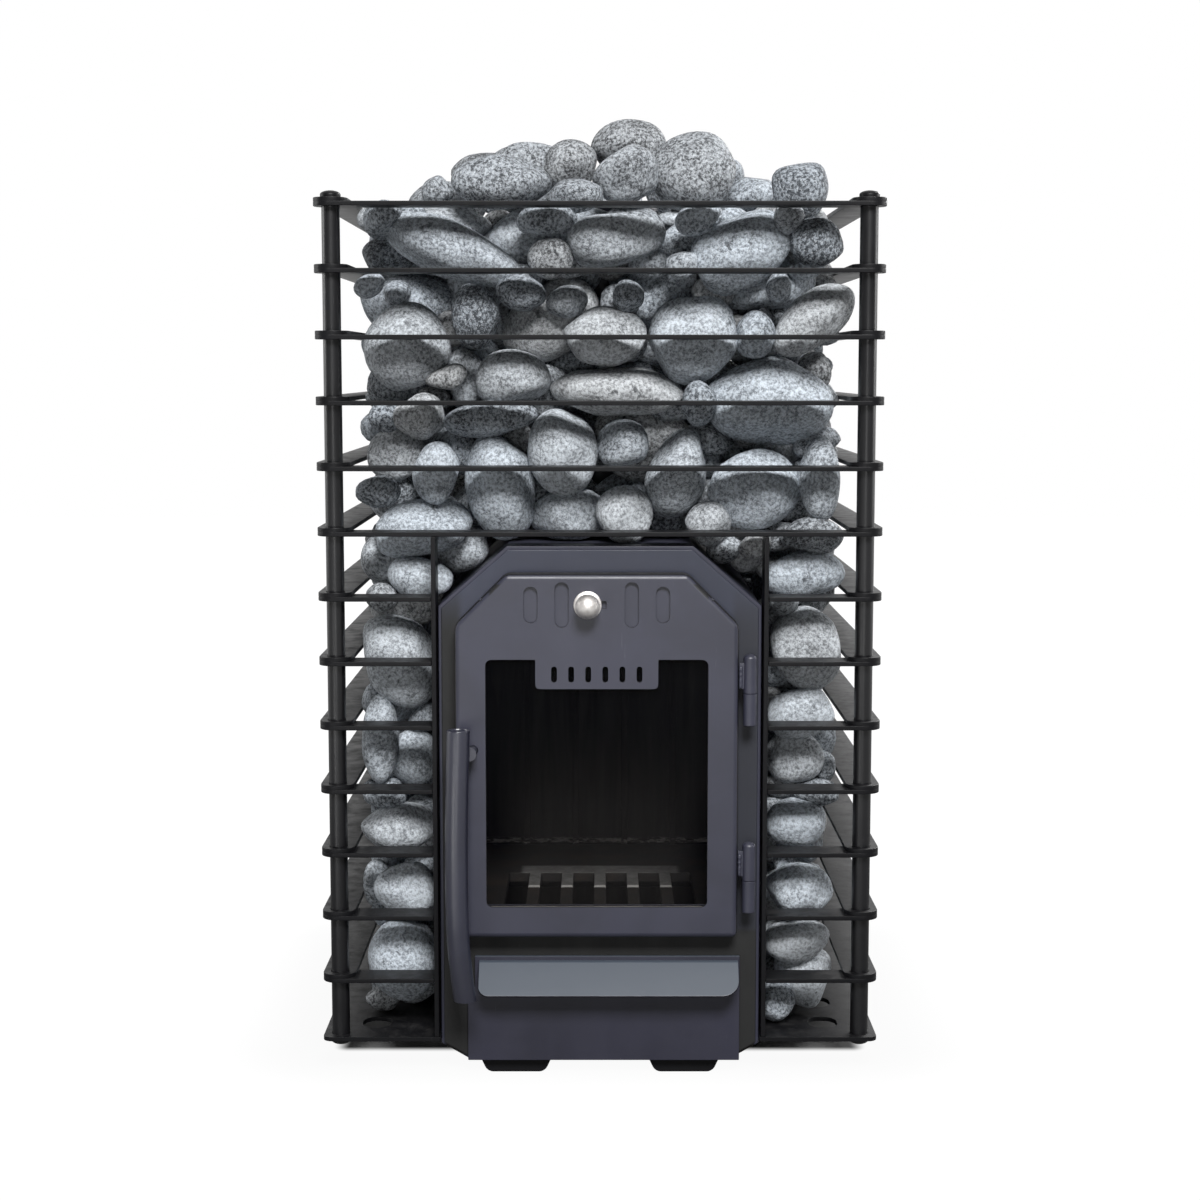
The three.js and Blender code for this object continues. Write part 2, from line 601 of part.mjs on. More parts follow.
function fireboxShell() {
  const corners = bodyCorners();
  const outside = standing(outline(corners), fireFront, fireBack);
  const inside = standing(outline(inset(corners, SHELL_WALL)), fireFront - OVERCUT, innerBack);
  const innerTop = fireTop - SHELL_WALL;
  const flueHole = rodUp(0, flueY, flueBore, innerTop - OVERCUT, fireTop + OVERCUT, ROUND_SIDES);
  const grateLedges = ledges(grateTop - GRATE_THICKNESS - SEAM, grateFront, innerBack);
  const baffleLedges = ledges(baffleTop - BAFFLE_THICKNESS - SEAM, fireFront + BAFFLE_FRONT_GAP, innerBack);
  const runnerEnd = trayHalf - TRAY_WALL;
  const runner = block(
    runnerEnd - RUNNER_WIDTH, runnerEnd, fireFront, innerBack,
    innerFloor - SHELL_WALL / 2, innerFloor + RUNNER_HEIGHT);
  const runners = [runner, runner.mirror([1, 0, 0])];
  return join(cut(outside, inside, flueHole), ...grateLedges, ...baffleLedges, ...runners);
}

function frontFrame() {
  const plate = standing(outline(inset(bodyCorners(), FRAME_MARGIN)), frameFront, frameBack);
  const front = frameFront - OVERCUT;
  const back = frameBack + OVERCUT;
  const doorway = standing(outline(inset(doorCorners(), DOOR_LAP)), front, back);
  const drawerWay = block(
    -trayHalf - TRAY_SIDE_GAP, trayHalf + TRAY_SIDE_GAP, front, back,
    trayLow - RUNNING_GAP, trayTop + TRAY_SIDE_GAP);
  return cut(plate, doorway, drawerWay);
}

function flueStub() {
  const profile = [[flueBore, 0], [flueRadius, 0], [flueRadius, FLUE_LENGTH], [flueBore, FLUE_LENGTH]];
  return turned([...profile, profile[0]], ROUND_SIDES);
}

// Grate: a plate on the ledges with a run of bars in its middle
function grate() {
  const half = innerHalf - RUNNING_GAP;
  const low = grateTop - GRATE_THICKNESS;
  const back = innerBack - LINER_THICKNESS - LINER_RIB - 2 * RUNNING_GAP;
  const plate = block(-half, half, grateFront, back, low, grateTop);
  const slotFront = grateFront + GRATE_FRONT_RIM;
  const slots = [];
  for (let index = 0; index < GRATE_SLOTS; index += 1) {
    const middle = (index - (GRATE_SLOTS - 1) / 2) * (GRATE_SLOT_WIDTH + GRATE_BAR_WIDTH);
    slots.push(block(
      middle - GRATE_SLOT_WIDTH / 2, middle + GRATE_SLOT_WIDTH / 2,
      slotFront, slotFront + GRATE_SLOT_LENGTH, low - OVERCUT, grateTop + OVERCUT));
  }
  return cut(plate, ...slots);
}

// Back liner: a plate with upright ribs, just in front of the back wall
function backLiner() {
  const half = innerHalf - LINER_SIDE_GAP;
  const back = innerBack - SEAM;
  const front = back - LINER_THICKNESS;
  const high = baffleTop - BAFFLE_THICKNESS - LINER_TOP_GAP;
  const plate = block(-half, half, front, back, grateTop, high);
  const ribs = [];
  for (let index = 0; index < LINER_RIBS; index += 1) {
    const middle = ((2 * index + 2) / (LINER_RIBS + 1) - 1) * half;
    ribs.push(block(
      middle - LINER_RIB / 2, middle + LINER_RIB / 2, front - LINER_RIB, front + LINER_THICKNESS / 2,
      grateTop, high));
  }
  return join(plate, ...ribs);
}

function addFirebox() {
  addPart('firebox_shell', fireboxShell(), blackPaint);
  addPart('front_frame', frontFrame(), blackPaint);
  addPart('flue_stub', flueStub(), blackPaint).position.set(0, flueY, fireTop + SEAM);
  addPart('grate', grate(), castIron);
  addPart('back_liner', backLiner(), sootedSteel);
  const baffleHalf = innerHalf - RUNNING_GAP;
  addPart('baffle_plate', block(
    -baffleHalf, baffleHalf, fireFront + BAFFLE_FRONT_GAP, innerBack - RUNNING_GAP,
    baffleTop - BAFFLE_THICKNESS, baffleTop), sootedSteel);

  const footSection = outline([
    [-FOOT_BOTTOM_WIDTH / 2, 0, FOOT_CORNER],
    [FOOT_BOTTOM_WIDTH / 2, 0, FOOT_CORNER],
    [FOOT_TOP_WIDTH / 2, FOOT_HEIGHT],
    [-FOOT_TOP_WIDTH / 2, FOOT_HEIGHT],
  ]);
  const foot = toGeometry(standing(footSection, 0, FOOT_LENGTH));
  for (const [along, y] of [['front', fireFront], ['back', fireBack - FOOT_LENGTH]]) {
    addPart(`foot_${along}_left`, foot, blackPaint).position.set(FOOT_INSET - fireHalf, y, 0);
    addPart(`foot_${along}_right`, foot, blackPaint).position.set(fireHalf - FOOT_INSET, y, 0);
  }
}

// Ash drawer: a sheet tray behind a front plate whose folded lip is the pull. The plate is notched
// beside the handle, so the drawer runs out past it.
function drawerFrontPlate() {
  const notchLevel = handleLow - HANDLE_NOTCH_GAP;
  const plate = standing(outline([
    [drawerLeft, drawerLow],
    [drawerRight, drawerLow],
    [drawerRight, drawerTop],
    [lipLeft, drawerTop],
    [lipLeft, notchLevel],
    [drawerLeft, notchLevel],
  ]), drawerFront, drawerBack);
  const lipEdge = outline([
    [lipLeft, -LIP_SLANT, LIP_LEFT_CORNER],
    [lipRight, -LIP_SLANT, LIP_RIGHT_CORNER],
    [lipRight, 0],
    [lipLeft, 0],
  ]);
  const fold = THREE.MathUtils.degToRad(LIP_ANGLE);
  const geometry = extrude(lipEdge, LIP_THICKNESS).rotateX(Math.PI / 2 - fold);
  const lip = toSolid(geometry.translate(0, drawerFront + LIP_THICKNESS / 2, drawerTop - LIP_DROP));
  return join(plate, lip);
}

function addAshDrawer() {
  const drawer = new THREE.Group();
  heater.add(drawer);
  addPart('ash_drawer_front', drawerFrontPlate(), greyPaint, drawer);
  const trayBack = trayFront + TRAY_DEPTH;
  const outside = block(-trayHalf, trayHalf, trayFront, trayBack, trayLow, trayTop);
  const inside = block(
    TRAY_WALL - trayHalf, trayHalf - TRAY_WALL, trayFront + TRAY_WALL, trayBack - TRAY_WALL,
    trayLow + TRAY_WALL, trayTop + OVERCUT);
  addPart('ash_tray', cut(outside, inside), sootedSteel, drawer);
}

// Door: a folded pan with the window, the vents and the holes for the latch and the knob
function windowCorners() {
  const tabLeft = doorMiddle - TAB_WIDTH / 2;
  const tabRight = doorMiddle + TAB_WIDTH / 2;
  const tabLow = windowTop - TAB_HEIGHT;
  return [
    [windowLeft, windowLow],
    [windowRight, windowLow],
    [windowRight, windowTop],
    [tabRight, windowTop],
    [tabRight, tabLow],
    [tabLeft, tabLow],
    [tabLeft, windowTop],
    [windowLeft, windowTop],
  ];
}

// Middle and height of each vent, from left to right
function ventPlaces() {
  return VENT_OFFSETS.flatMap((offset, index) => [
    [doorMiddle - offset, VENT_HEIGHTS[index]],
    [doorMiddle + offset, VENT_HEIGHTS[index]],
  ]);
}

function doorPanel() {
  const corners = doorCorners();
  const pan = standing(outline(corners, DOOR_CORNER), doorFront, doorBack);
  const hollow = standing(outline(inset(corners, DOOR_WALL)), doorPlateBack, doorBack + OVERCUT);
  const front = doorFront - OVERCUT;
  const back = doorPlateBack + OVERCUT;
  const window = standing(outline(windowCorners(), WINDOW_CORNER), front, back);
  const vents = ventPlaces().map(([x, height]) =>
    standing(slot(x, ventLevel, VENT_WIDTH, height), front, back));
  const tabSlots = [];
  for (let index = 0; index < TAB_SLOTS; index += 1) {
    const x = doorMiddle + (index - (TAB_SLOTS - 1) / 2) * TAB_SLOT_PITCH;
    tabSlots.push(standing(
      slot(x, windowTop - TAB_HEIGHT / 2, TAB_SLOT_WIDTH, TAB_SLOT_HEIGHT), front, back));
  }
  const studReach = STUD_DIAMETER / 2 + RUNNING_GAP;
  const studSlot = block(
    knobX - studReach, knobX + SLIDER_TRAVEL + studReach, front, back,
    ventLevel - studReach, ventLevel + studReach);
  const spindleHole = rodBack(
    pivotX, pivotZ, SPINDLE_DIAMETER / 2 + RUNNING_GAP, front, back, KNUCKLE_SIDES);
  return cut(pan, hollow, window, ...vents, ...tabSlots, studSlot, spindleHole);
}

// Flat frame round the window, as wide as the glass laps behind the door plate
function windowFrame(front, back) {
  const outer = rectangle(
    windowLeft - GLASS_LAP, windowRight + GLASS_LAP, windowLow - GLASS_LAP, windowTop + GLASS_LAP);
  const inner = rectangle(windowLeft, windowRight, windowLow, windowTop);
  return cut(
    standing(outline(outer), front, back),
    standing(outline(inner), front - OVERCUT, back + OVERCUT));
}

function doorSeal() {
  const outerCorners = inset(doorCorners(), DOOR_WALL + SEAM);
  const front = frameFront - SEAM - DOOR_SEAL_DEPTH;
  const back = frameFront - SEAM;
  return cut(
    standing(outline(outerCorners), front, back),
    standing(outline(inset(outerCorners, DOOR_SEAL_WIDTH)), front - OVERCUT, back + OVERCUT));
}

function airSlider() {
  const middle = doorMiddle;
  const corners = rectangle(middle - sliderHalf, middle + sliderHalf, sliderLow, sliderTop);
  const plate = standing(outline(corners), sliderFront, sliderBack);
  const front = sliderFront - OVERCUT;
  const back = sliderBack + OVERCUT;
  const vents = ventPlaces()
    .filter(([x]) => x - SLIDER_TRAVEL - VENT_WIDTH / 2 > middle - sliderHalf)
    .map(([x, height]) => standing(slot(x - SLIDER_TRAVEL, ventLevel, VENT_WIDTH, height), front, back));
  const studHole = rodBack(knobX, ventLevel, STUD_DIAMETER / 2 + SEAM, front, back, KNUCKLE_SIDES);
  return cut(plate, ...vents, studHole);
}

// Guide strip above (side = 1) or below (side = -1) the slider, with a lip behind its edge
function sliderGuide(side) {
  const edge = side > 0 ? sliderTop : sliderLow;
  const inner = edge + side * SEAM;
  const outer = inner + side * GUIDE_THICKNESS;
  const lipEdge = edge - side * GUIDE_LIP;
  const lipFront = sliderBack + SEAM;
  const back = lipFront + GUIDE_THICKNESS;
  const left = doorMiddle - sliderHalf;
  const right = doorMiddle + sliderHalf;
  const spine = block(left, right, sliderFront, back, Math.min(inner, outer), Math.max(inner, outer));
  const lip = block(left, right, lipFront, back, Math.min(outer, lipEdge), Math.max(outer, lipEdge));
  return join(spine, lip);
}

// Ball knob on a stud that runs through the door to the slider
function airKnob() {
  const front = collarFront - SEAM;
  const geometry = new THREE.SphereGeometry(knobRadius, KNUCKLE_SIDES, KNUCKLE_SIDES / 2);
  const ball = toSolid(geometry.translate(knobX, front - knobRadius * KNOB_SEAT, ventLevel));
  const seat = block(
    knobX - knobRadius, knobX + knobRadius, front, front + knobRadius,
    ventLevel - knobRadius, ventLevel + knobRadius);
  const socket = rodBack(
    knobX, ventLevel, STUD_DIAMETER / 2 + SEAM, front - STUD_DEPTH_IN_KNOB, front + OVERCUT, KNUCKLE_SIDES);
  return cut(ball, seat, socket);
}

function airKnobStud() {
  const shank = rodBack(
    knobX, ventLevel, STUD_DIAMETER / 2, collarFront - STUD_DEPTH_IN_KNOB + RUNNING_GAP, sliderBack,
    KNUCKLE_SIDES);
  const collar = rodBack(knobX, ventLevel, STUD_COLLAR / 2, collarFront, collarBack, KNUCKLE_SIDES);
  return join(shank, collar);
}

// Hinge halves, standing on the hinge axis with the split at height zero
function doorKnuckle() {
  const radius = KNUCKLE_DIAMETER / 2;
  const crownLow = DOOR_KNUCKLE_HEIGHT - KNUCKLE_CROWN;
  const [shoulderRadius, shoulderHeight] = KNUCKLE_SHOULDER;
  const body = turned([
    [0, SEAM],
    [radius, SEAM],
    [radius, crownLow],
    [radius * shoulderRadius, crownLow + KNUCKLE_CROWN * shoulderHeight],
    [0, DOOR_KNUCKLE_HEIGHT],
  ], KNUCKLE_SIDES);
  const tab = block(
    SEAM - HINGE_OFFSET, 0, -HINGE_TAB_THICKNESS / 2, HINGE_TAB_THICKNESS / 2,
    HINGE_TAB_INSET, DOOR_KNUCKLE_HEIGHT - 2 * HINGE_TAB_INSET);
  const bore = rodUp(
    0, 0, PIN_DIAMETER / 2 + RUNNING_GAP / 2, -OVERCUT, PIN_LENGTH + RUNNING_GAP, KNUCKLE_SIDES);
  return cut(join(body, tab), bore);
}

function frameKnuckle() {
  const body = rodUp(0, 0, KNUCKLE_DIAMETER / 2, -FRAME_KNUCKLE_HEIGHT, 0, KNUCKLE_SIDES);
  const pin = rodUp(0, 0, PIN_DIAMETER / 2, -HINGE_TAB_INSET, PIN_LENGTH, KNUCKLE_SIDES);
  const tab = block(
    -HINGE_TAB_THICKNESS / 2, HINGE_TAB_THICKNESS / 2, 0, frameFront - SEAM - hingeY,
    HINGE_TAB_INSET - FRAME_KNUCKLE_HEIGHT, -HINGE_TAB_INSET);
  return join(body, pin, tab);
}

function addDoor() {
  const door = new THREE.Group();
  heater.add(door);
  addPart('door_panel', doorPanel(), blackPaint, door);
  addPart('door_seal', doorSeal(), rope, door);
  addPart('glass_seal', windowFrame(glassSealFront, glassSealFront + GLASS_SEAL_THICKNESS), rope, door);
  const lap = GLASS_LAP;
  addPart('door_glass', block(
    windowLeft - lap, windowRight + lap, glassFront, glassFront + GLASS_THICKNESS,
    windowLow - lap, windowTop + lap), darkGlass, door);
  const retainerBack = retainerFront + RETAINER_THICKNESS;
  addPart('glass_retainer', windowFrame(retainerFront, retainerBack), blackPaint, door);
  addPart('slider_guide_top', sliderGuide(1), blackPaint, door);
  addPart('slider_guide_bottom', sliderGuide(-1), blackPaint, door);
  addPart('air_slider', airSlider(), blackPaint, door);
  addPart('air_knob_stud', airKnobStud(), satinSteel, door);
  addPart('air_knob', airKnob(), satinSteel, door);

  const doorHalf = toGeometry(doorKnuckle());
  const frameHalfHinge = toGeometry(frameKnuckle());
  for (const [place, split] of [['upper', upperSplit], ['lower', lowerSplit]]) {
    addPart(`hinge_${place}_door_knuckle`, doorHalf, blackPaint, door).position.set(hingeX, hingeY, split);
    addPart(`hinge_${place}_frame_knuckle`, frameHalfHinge, blackPaint).position.set(hingeX, hingeY, split);
  }
}

// Latch: the handle hangs from a spindle, and turning it swings the hook behind the frame
function doorHandle() {
  const middle = (handleTop + handleLow) / 2;
  const path = new THREE.CatmullRomCurve3([
    new THREE.Vector3(handleX, handleY, handleTop),
    new THREE.Vector3(handleX - HANDLE_BOW, handleY, middle),
    new THREE.Vector3(handleX + HANDLE_TOE, handleY, handleLow),
  ]);
  const section = new THREE.Shape();
  section.absarc(0, 0, handleRadius, 0, 2 * Math.PI);
  return toSolid(new THREE.ExtrudeGeometry(section, {
    steps: HANDLE_STEPS, curveSegments: HANDLE_SIDES / 2, extrudePath: path,
  }));
}

function latchSpindle() {
  const lug = standing(outline(rectangle(
    handleX - handleRadius / 2, pivotX + SPINDLE_DIAMETER / 2,
    pivotZ - LUG_HEIGHT / 2, pivotZ + LUG_HEIGHT / 2), SPINDLE_DIAMETER / 2), lugFront, lugBack);
  const shaft = rodBack(pivotX, pivotZ, SPINDLE_DIAMETER / 2, lugBack - OVERCUT, hookBack, KNUCKLE_SIDES);
  return join(lug, shaft);
}

function latchHook() {
  const edge = outline([
    [pivotX - HOOK_WIDTH / 2, pivotZ - HOOK_REACH],
    [pivotX + HOOK_WIDTH / 2, pivotZ - HOOK_REACH],
    [pivotX + HOOK_HUB, pivotZ + HOOK_HUB],
    [pivotX - HOOK_HUB, pivotZ + HOOK_HUB],
  ], HOOK_HUB / 2);
  const bore = rodBack(
    pivotX, pivotZ, SPINDLE_DIAMETER / 2 + SEAM, hookFront - OVERCUT, hookBack + OVERCUT, KNUCKLE_SIDES);
  return cut(standing(edge, hookFront, hookBack), bore);
}

function addLatch() {
  const latch = new THREE.Group();
  heater.add(latch);
  addPart('door_handle', doorHandle(), blackPaint, latch);
  addPart('latch_spindle', latchSpindle(), blackPaint, latch);
  addPart('latch_hook', latchHook(), blackPaint, latch);
  const keeperRight = doorLeft + DOOR_LAP - RUNNING_GAP;
  addPart('latch_keeper', block(
    keeperRight - KEEPER_WIDTH, keeperRight, keeperFront, keeperFront + KEEPER_THICKNESS,
    pivotZ - KEEPER_HEIGHT / 2, pivotZ + KEEPER_HEIGHT / 2), blackPaint);
}

// Stones: single stones are laid round a packed core. Each starts at its side of the cage and moves
// inwards until it clears the ones before it. For each side: its axis, the two axes along it, and
// the way in.
const STONE_SIDES = { front: 'yxz+', back: 'yxz-', left: 'xyz+', right: 'xyz-', top: 'zxy-' };

function sideAxes(side) {
  const [axis, across, up] = [...STONE_SIDES[side]].map((letter) => 'xyz'.indexOf(letter));
  return [axis, across, up, STONE_SIDES[side].endsWith('+') ? 1 : -1];
}

const yardLow = [-stoneHalf, stoneFront, stoneFloor];
const yardHigh = [stoneHalf, stoneBack, cageTop];

// Repeatable chance: each throw follows from the one before
function dice(seed) {
  let state = seed * 7919;
  return (low = 0, high = 1) => {
    state = (state * 16807) % 2147483647;
    return low + ((high - low) * state) / 2147483647;
  };
}

// Half sizes of the box round a stone that is tilted on its side of the cage
function reachOf(half, tilt, across, up) {
  const turn = THREE.MathUtils.degToRad(tilt);
  const box = [...half];
  box[across] = Math.hypot(half[across] * Math.cos(turn), half[up] * Math.sin(turn));
  box[up] = Math.hypot(half[across] * Math.sin(turn), half[up] * Math.cos(turn));
  return box;
}

const roofAt = (x) =>
  fireTop - Math.max(0, (Math.abs(x) - (fireHalf - TOP_CHAMFER[0])) * TOP_CHAMFER[1] / TOP_CHAMFER[0]);

function hitsSteel([x, y, z], [reachX, reachY, reachZ]) {
  if (Math.hypot(x, y - flueY) < flueRadius + Math.max(reachX, reachY) * 0.92) return true;
  const beside = Math.abs(x) - reachX * 0.9 < fireHalf;
  const over = y + reachY * 0.9 > fireFront && y - reachY * 0.9 < fireBack;
  const nearest = Math.max(0, Math.abs(x) - reachX * 0.45);
  return beside && over && z - reachZ * 0.9 < roofAt(nearest);
}

const tooClose = (middle, box, other) => middle.reduce((sum, place, axis) =>
  sum + ((other.middle[axis] - place) / (other.box[axis] + box[axis])) ** 2, 0) < STONE_NEARNESS;

function lay(laid, side, start, half, tilt, steps, fixed = false) {
  const [axis, across, up, inward] = sideAxes(side);
  const box = reachOf(half, tilt, across, up);
  const middle = [...start];
  for (let step = 0; step < steps; step += 1) {
    const crowded = hitsSteel(middle, box) || laid.some((other) => tooClose(middle, box, other));
    if (fixed || !crowded) {
      laid.push({ side, middle, half, tilt, box });
      return;
    }
    middle[axis] += STONE_STEP * inward;
  }
}

// Stones on a jittered grid over one side of the cage
function scatter(laid, side, seed, size, steps) {
  const throwDice = dice(seed);
  const [axis, across, up, inward] = sideAxes(side);
  const pitchAcross = STONE_LENGTH * size;
  const pitchUp = STONE_HEIGHT * size;
  const columns = Math.floor((yardHigh[across] - yardLow[across]) / pitchAcross);
  const rows = Math.floor((yardHigh[up] - yardLow[up]) / pitchUp);
  for (let row = 0; row <= rows; row += 1) {
    for (let column = 0; column <= columns; column += 1) {
      const half = [0, 0, 0];
      half[across] = pitchAcross / 2 * throwDice(0.85, 1.3);
      half[up] = pitchUp / 2 * throwDice(0.85, 1.3);
      half[axis] = Math.min(33, 0.5 * (half[across] + half[up]) * throwDice(0.75, 1));
      const shift = (0.5 * row + 1 + throwDice(-0.15, 0.15)) % 1;
      const middle = [0, 0, 0];
      middle[across] = yardLow[across] + (column + shift) * pitchAcross;
      middle[up] = yardLow[up] + (row + 0.5 + throwDice(-0.2, 0.2)) * pitchUp;
      const tilt = throwDice(-25, 25);
      const box = reachOf(half, tilt, across, up);
      for (const along of [across, up]) {
        const least = yardLow[along] + box[along];
        middle[along] = Math.min(Math.max(middle[along], least), yardHigh[along] - box[along]);
      }
      const edge = inward > 0 ? yardLow[axis] : yardHigh[axis];
      middle[axis] = edge + inward * (half[axis] + throwDice(0, 9));
      lay(laid, side, middle, half, tilt, steps);
    }
  }
}

function laidStones() {
  const laid = [];
  const throwDice = dice(7);
  for (const [x, z, length, height, tilt] of FRONT_STONES) {
    const free = 0.21 * (length + height) * throwDice(0.85, 1.05);
    const depth = THREE.MathUtils.clamp(free, ...STONE_DEPTHS);
    lay(laid, 'front', [x, stoneFront + depth, z], [length / 2, depth, height / 2], tilt, STONE_STEPS);
  }
  for (const [x, back, up, halfX, halfY, halfZ, tilt] of HEAP_STONES) {
    lay(laid, 'front', [x, cageFront + back, cageTop + up], [halfX, halfY, halfZ], tilt, 1, true);
  }
  STONE_LAYERS.forEach(([size, steps], layer) => ['left', 'right', 'back', 'top'].forEach((side, index) =>
    scatter(laid, side, 11 + 10 * layer + index, size, steps)));
  return laid;
}

// A stone, drawn inwards to the core so that no tunnel is left behind it
function stoneSolid({ side, middle, half, tilt }, core) {
  const [axis] = STONE_SIDES[side];
  const turn = THREE.MathUtils.degToRad(axis === 'y' ? -tilt : tilt);
  const fine = side === 'front' && half[0] + half[2] > STONE_FINE;
  const geometry = fine ? new THREE.IcosahedronGeometry(1, 1) : new THREE.SphereGeometry(1, 8, 4);
  geometry.scale(...half);
  geometry[`rotate${axis.toUpperCase()}`](turn);
  const stone = toSolid(geometry.translate(...middle));
  const held = core.clampPoint(new THREE.Vector3(...middle), new THREE.Vector3());
  const inwards = held.sub(new THREE.Vector3(...middle));
  return inwards.length() < 1 ? stone : wasm.Manifold.hull([stone, stone.translate(inwards.toArray())]);
}

// The outer skin of a solid, without the pockets shut in between its stones
const withoutPockets = (solid) =>
  solid.decompose().reduce((largest, piece) => (piece.volume() > largest.volume() ? piece : largest));

function addStones() {
  const flueRoom = rodUp(0, flueY, flueRadius + STONE_GAP, fireTop - OVERCUT, heapReach, ROUND_SIDES);
  const behind = fireBack + STONE_GAP;
  const fireRoom = standing(outline(inset(bodyCorners(), -STONE_GAP)), fireFront, behind);
  const under = stoneShelf - STONE_GAP;
  const half = STONE_GAP / 2;
  const core = new THREE.Box3(
    new THREE.Vector3(CORE_DEPTH - stoneHalf, stoneFront + CORE_DEPTH, stoneFloor),
    new THREE.Vector3(stoneHalf - CORE_DEPTH, stoneBack - CORE_DEPTH, cageTop - CORE_DROP));
  const packed = block(core.min.x, core.max.x, core.min.y, core.max.y, core.min.z, core.max.z);
  const hold = core.clone().expandByScalar(-CORE_HOLD);
  const stones = laidStones().map((stone) => stoneSolid(stone, hold));
  const masses = [
    ['stones_left', [-stoneHalf, stoneFront, stoneFloor], [-stoneSide, stoneBack, under]],
    ['stones_right', [stoneSide, stoneFront, stoneFloor], [stoneHalf, stoneBack, under]],
    ['stones_back', [STONE_GAP - stoneSide, behind, stoneFloor], [stoneSide - STONE_GAP, stoneBack, under]],
    ['stones_top_front', [-stoneHalf, stoneFront, stoneShelf], [stoneHalf, heapSplit - half, heapReach]],
    ['stones_top_left', [-stoneHalf, heapSplit + half, stoneShelf], [-half, stoneBack, heapReach]],
    ['stones_top_right', [half, heapSplit + half, stoneShelf], [stoneHalf, stoneBack, heapReach]],
  ];
  for (const [name, low, high] of masses) {
    const limits = block(low[0], high[0], low[1], high[1], low[2], high[2]);
    const near = stones.filter((stone) => {
      const { min, max } = stone.boundingBox();
      return min.every((least, axis) => least < high[axis] && max[axis] > low[axis]);
    });
    const mass = join(packed, ...near).intersect(limits);
    addPart(name, withoutPockets(cut(mass, flueRoom, fireRoom)), greyStone);
  }
}

addFirebox();
addAshDrawer();
addDoor();
addLatch();
addCage();
addStones();

// The handle reaches furthest to the front and the cage furthest to the back
const heaterFront = handleY - handleRadius;
heater.position.y = -(heaterFront + cageBack) / 2;

export default heater;
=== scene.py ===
# %% [markdown]
# # Dressing a wood-burning sauna heater
#
# The heater is a welded steel firebox that stands in a cage of flat-bar rings, and the cage is
# filled with tumbled stones. Its solids come packed from a CAD model, so every place and size is
# already settled. This lesson gives them the look of the real thing: broken edges, folded sheet,
# weld beads, heat-proof paint, soot, and several hundred separate stones.

# %% Load the solids
import math
import random

import bmesh
import bpy
import numpy as np
from mathutils import Euler, Matrix, Vector


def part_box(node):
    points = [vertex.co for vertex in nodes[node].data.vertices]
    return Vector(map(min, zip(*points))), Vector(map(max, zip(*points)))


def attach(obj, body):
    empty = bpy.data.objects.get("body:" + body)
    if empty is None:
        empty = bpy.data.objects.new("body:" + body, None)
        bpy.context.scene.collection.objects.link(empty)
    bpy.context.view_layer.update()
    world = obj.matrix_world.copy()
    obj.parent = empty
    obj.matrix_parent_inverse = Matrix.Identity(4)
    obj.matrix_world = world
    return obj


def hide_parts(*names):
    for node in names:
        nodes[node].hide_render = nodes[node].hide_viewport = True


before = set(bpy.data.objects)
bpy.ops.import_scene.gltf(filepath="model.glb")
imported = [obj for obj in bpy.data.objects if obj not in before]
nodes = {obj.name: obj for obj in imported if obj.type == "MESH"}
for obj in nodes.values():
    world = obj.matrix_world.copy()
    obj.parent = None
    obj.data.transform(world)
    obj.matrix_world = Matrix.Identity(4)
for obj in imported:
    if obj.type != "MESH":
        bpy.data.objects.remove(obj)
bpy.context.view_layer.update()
MM = 0.001
print("solids loaded:", len(nodes))

# %% [markdown]
# ## Camera
#
# A camera is matched to a photograph by its place, its tilt and its lens. The lens was fitted to
# the cage, whose rings are evenly spaced: it stands level with the upper third of the cage and
# looks down a little, so the lower rings show their upper sides.

# %% Camera
CAMERA_PLACE = (0, -2.1065, 0.635)
CAMERA_TILT = 6.16
camera_data = bpy.data.cameras.new("camera")
camera_data.sensor_width = 36
camera_data.lens = 64.5
camera = bpy.data.objects.new("camera", camera_data)
camera.location = CAMERA_PLACE
camera.rotation_euler = (math.radians(90 - CAMERA_TILT), 0, 0)
bpy.context.scene.collection.objects.link(camera)
bpy.context.scene.camera = camera
bpy.context.scene.view_settings.view_transform = "Standard"
print("camera lens:", camera_data.lens)

# %% [markdown]
# ## Shader sums in Python
#
# A finish is a small network of nodes. Wiring it by hand is slow, so one class wraps a socket and
# lets plain Python sums add the Math nodes, and a second class holds one material and adds any
# other node from its type, its settings and the values of its sockets.


# %% Shader helpers
class Flow:
    """One output socket. Sums of flows and numbers become Math nodes."""

    def __init__(self, recipe, socket):
        self.recipe = recipe
        self.socket = socket

    def sum(self, operation, first, second):
        return self.recipe.add("ShaderNodeMath", {"operation": operation}, {0: first, 1: second})

    def __add__(self, other):
        return self.sum("ADD", self, other)

    def __radd__(self, other):
        return self.sum("ADD", other, self)

    def __sub__(self, other):
        return self.sum("SUBTRACT", self, other)

    def __rsub__(self, other):
        return self.sum("SUBTRACT", other, self)

    def __mul__(self, other):
        return self.sum("MULTIPLY", self, other)

    def __rmul__(self, other):
        return self.sum("MULTIPLY", other, self)


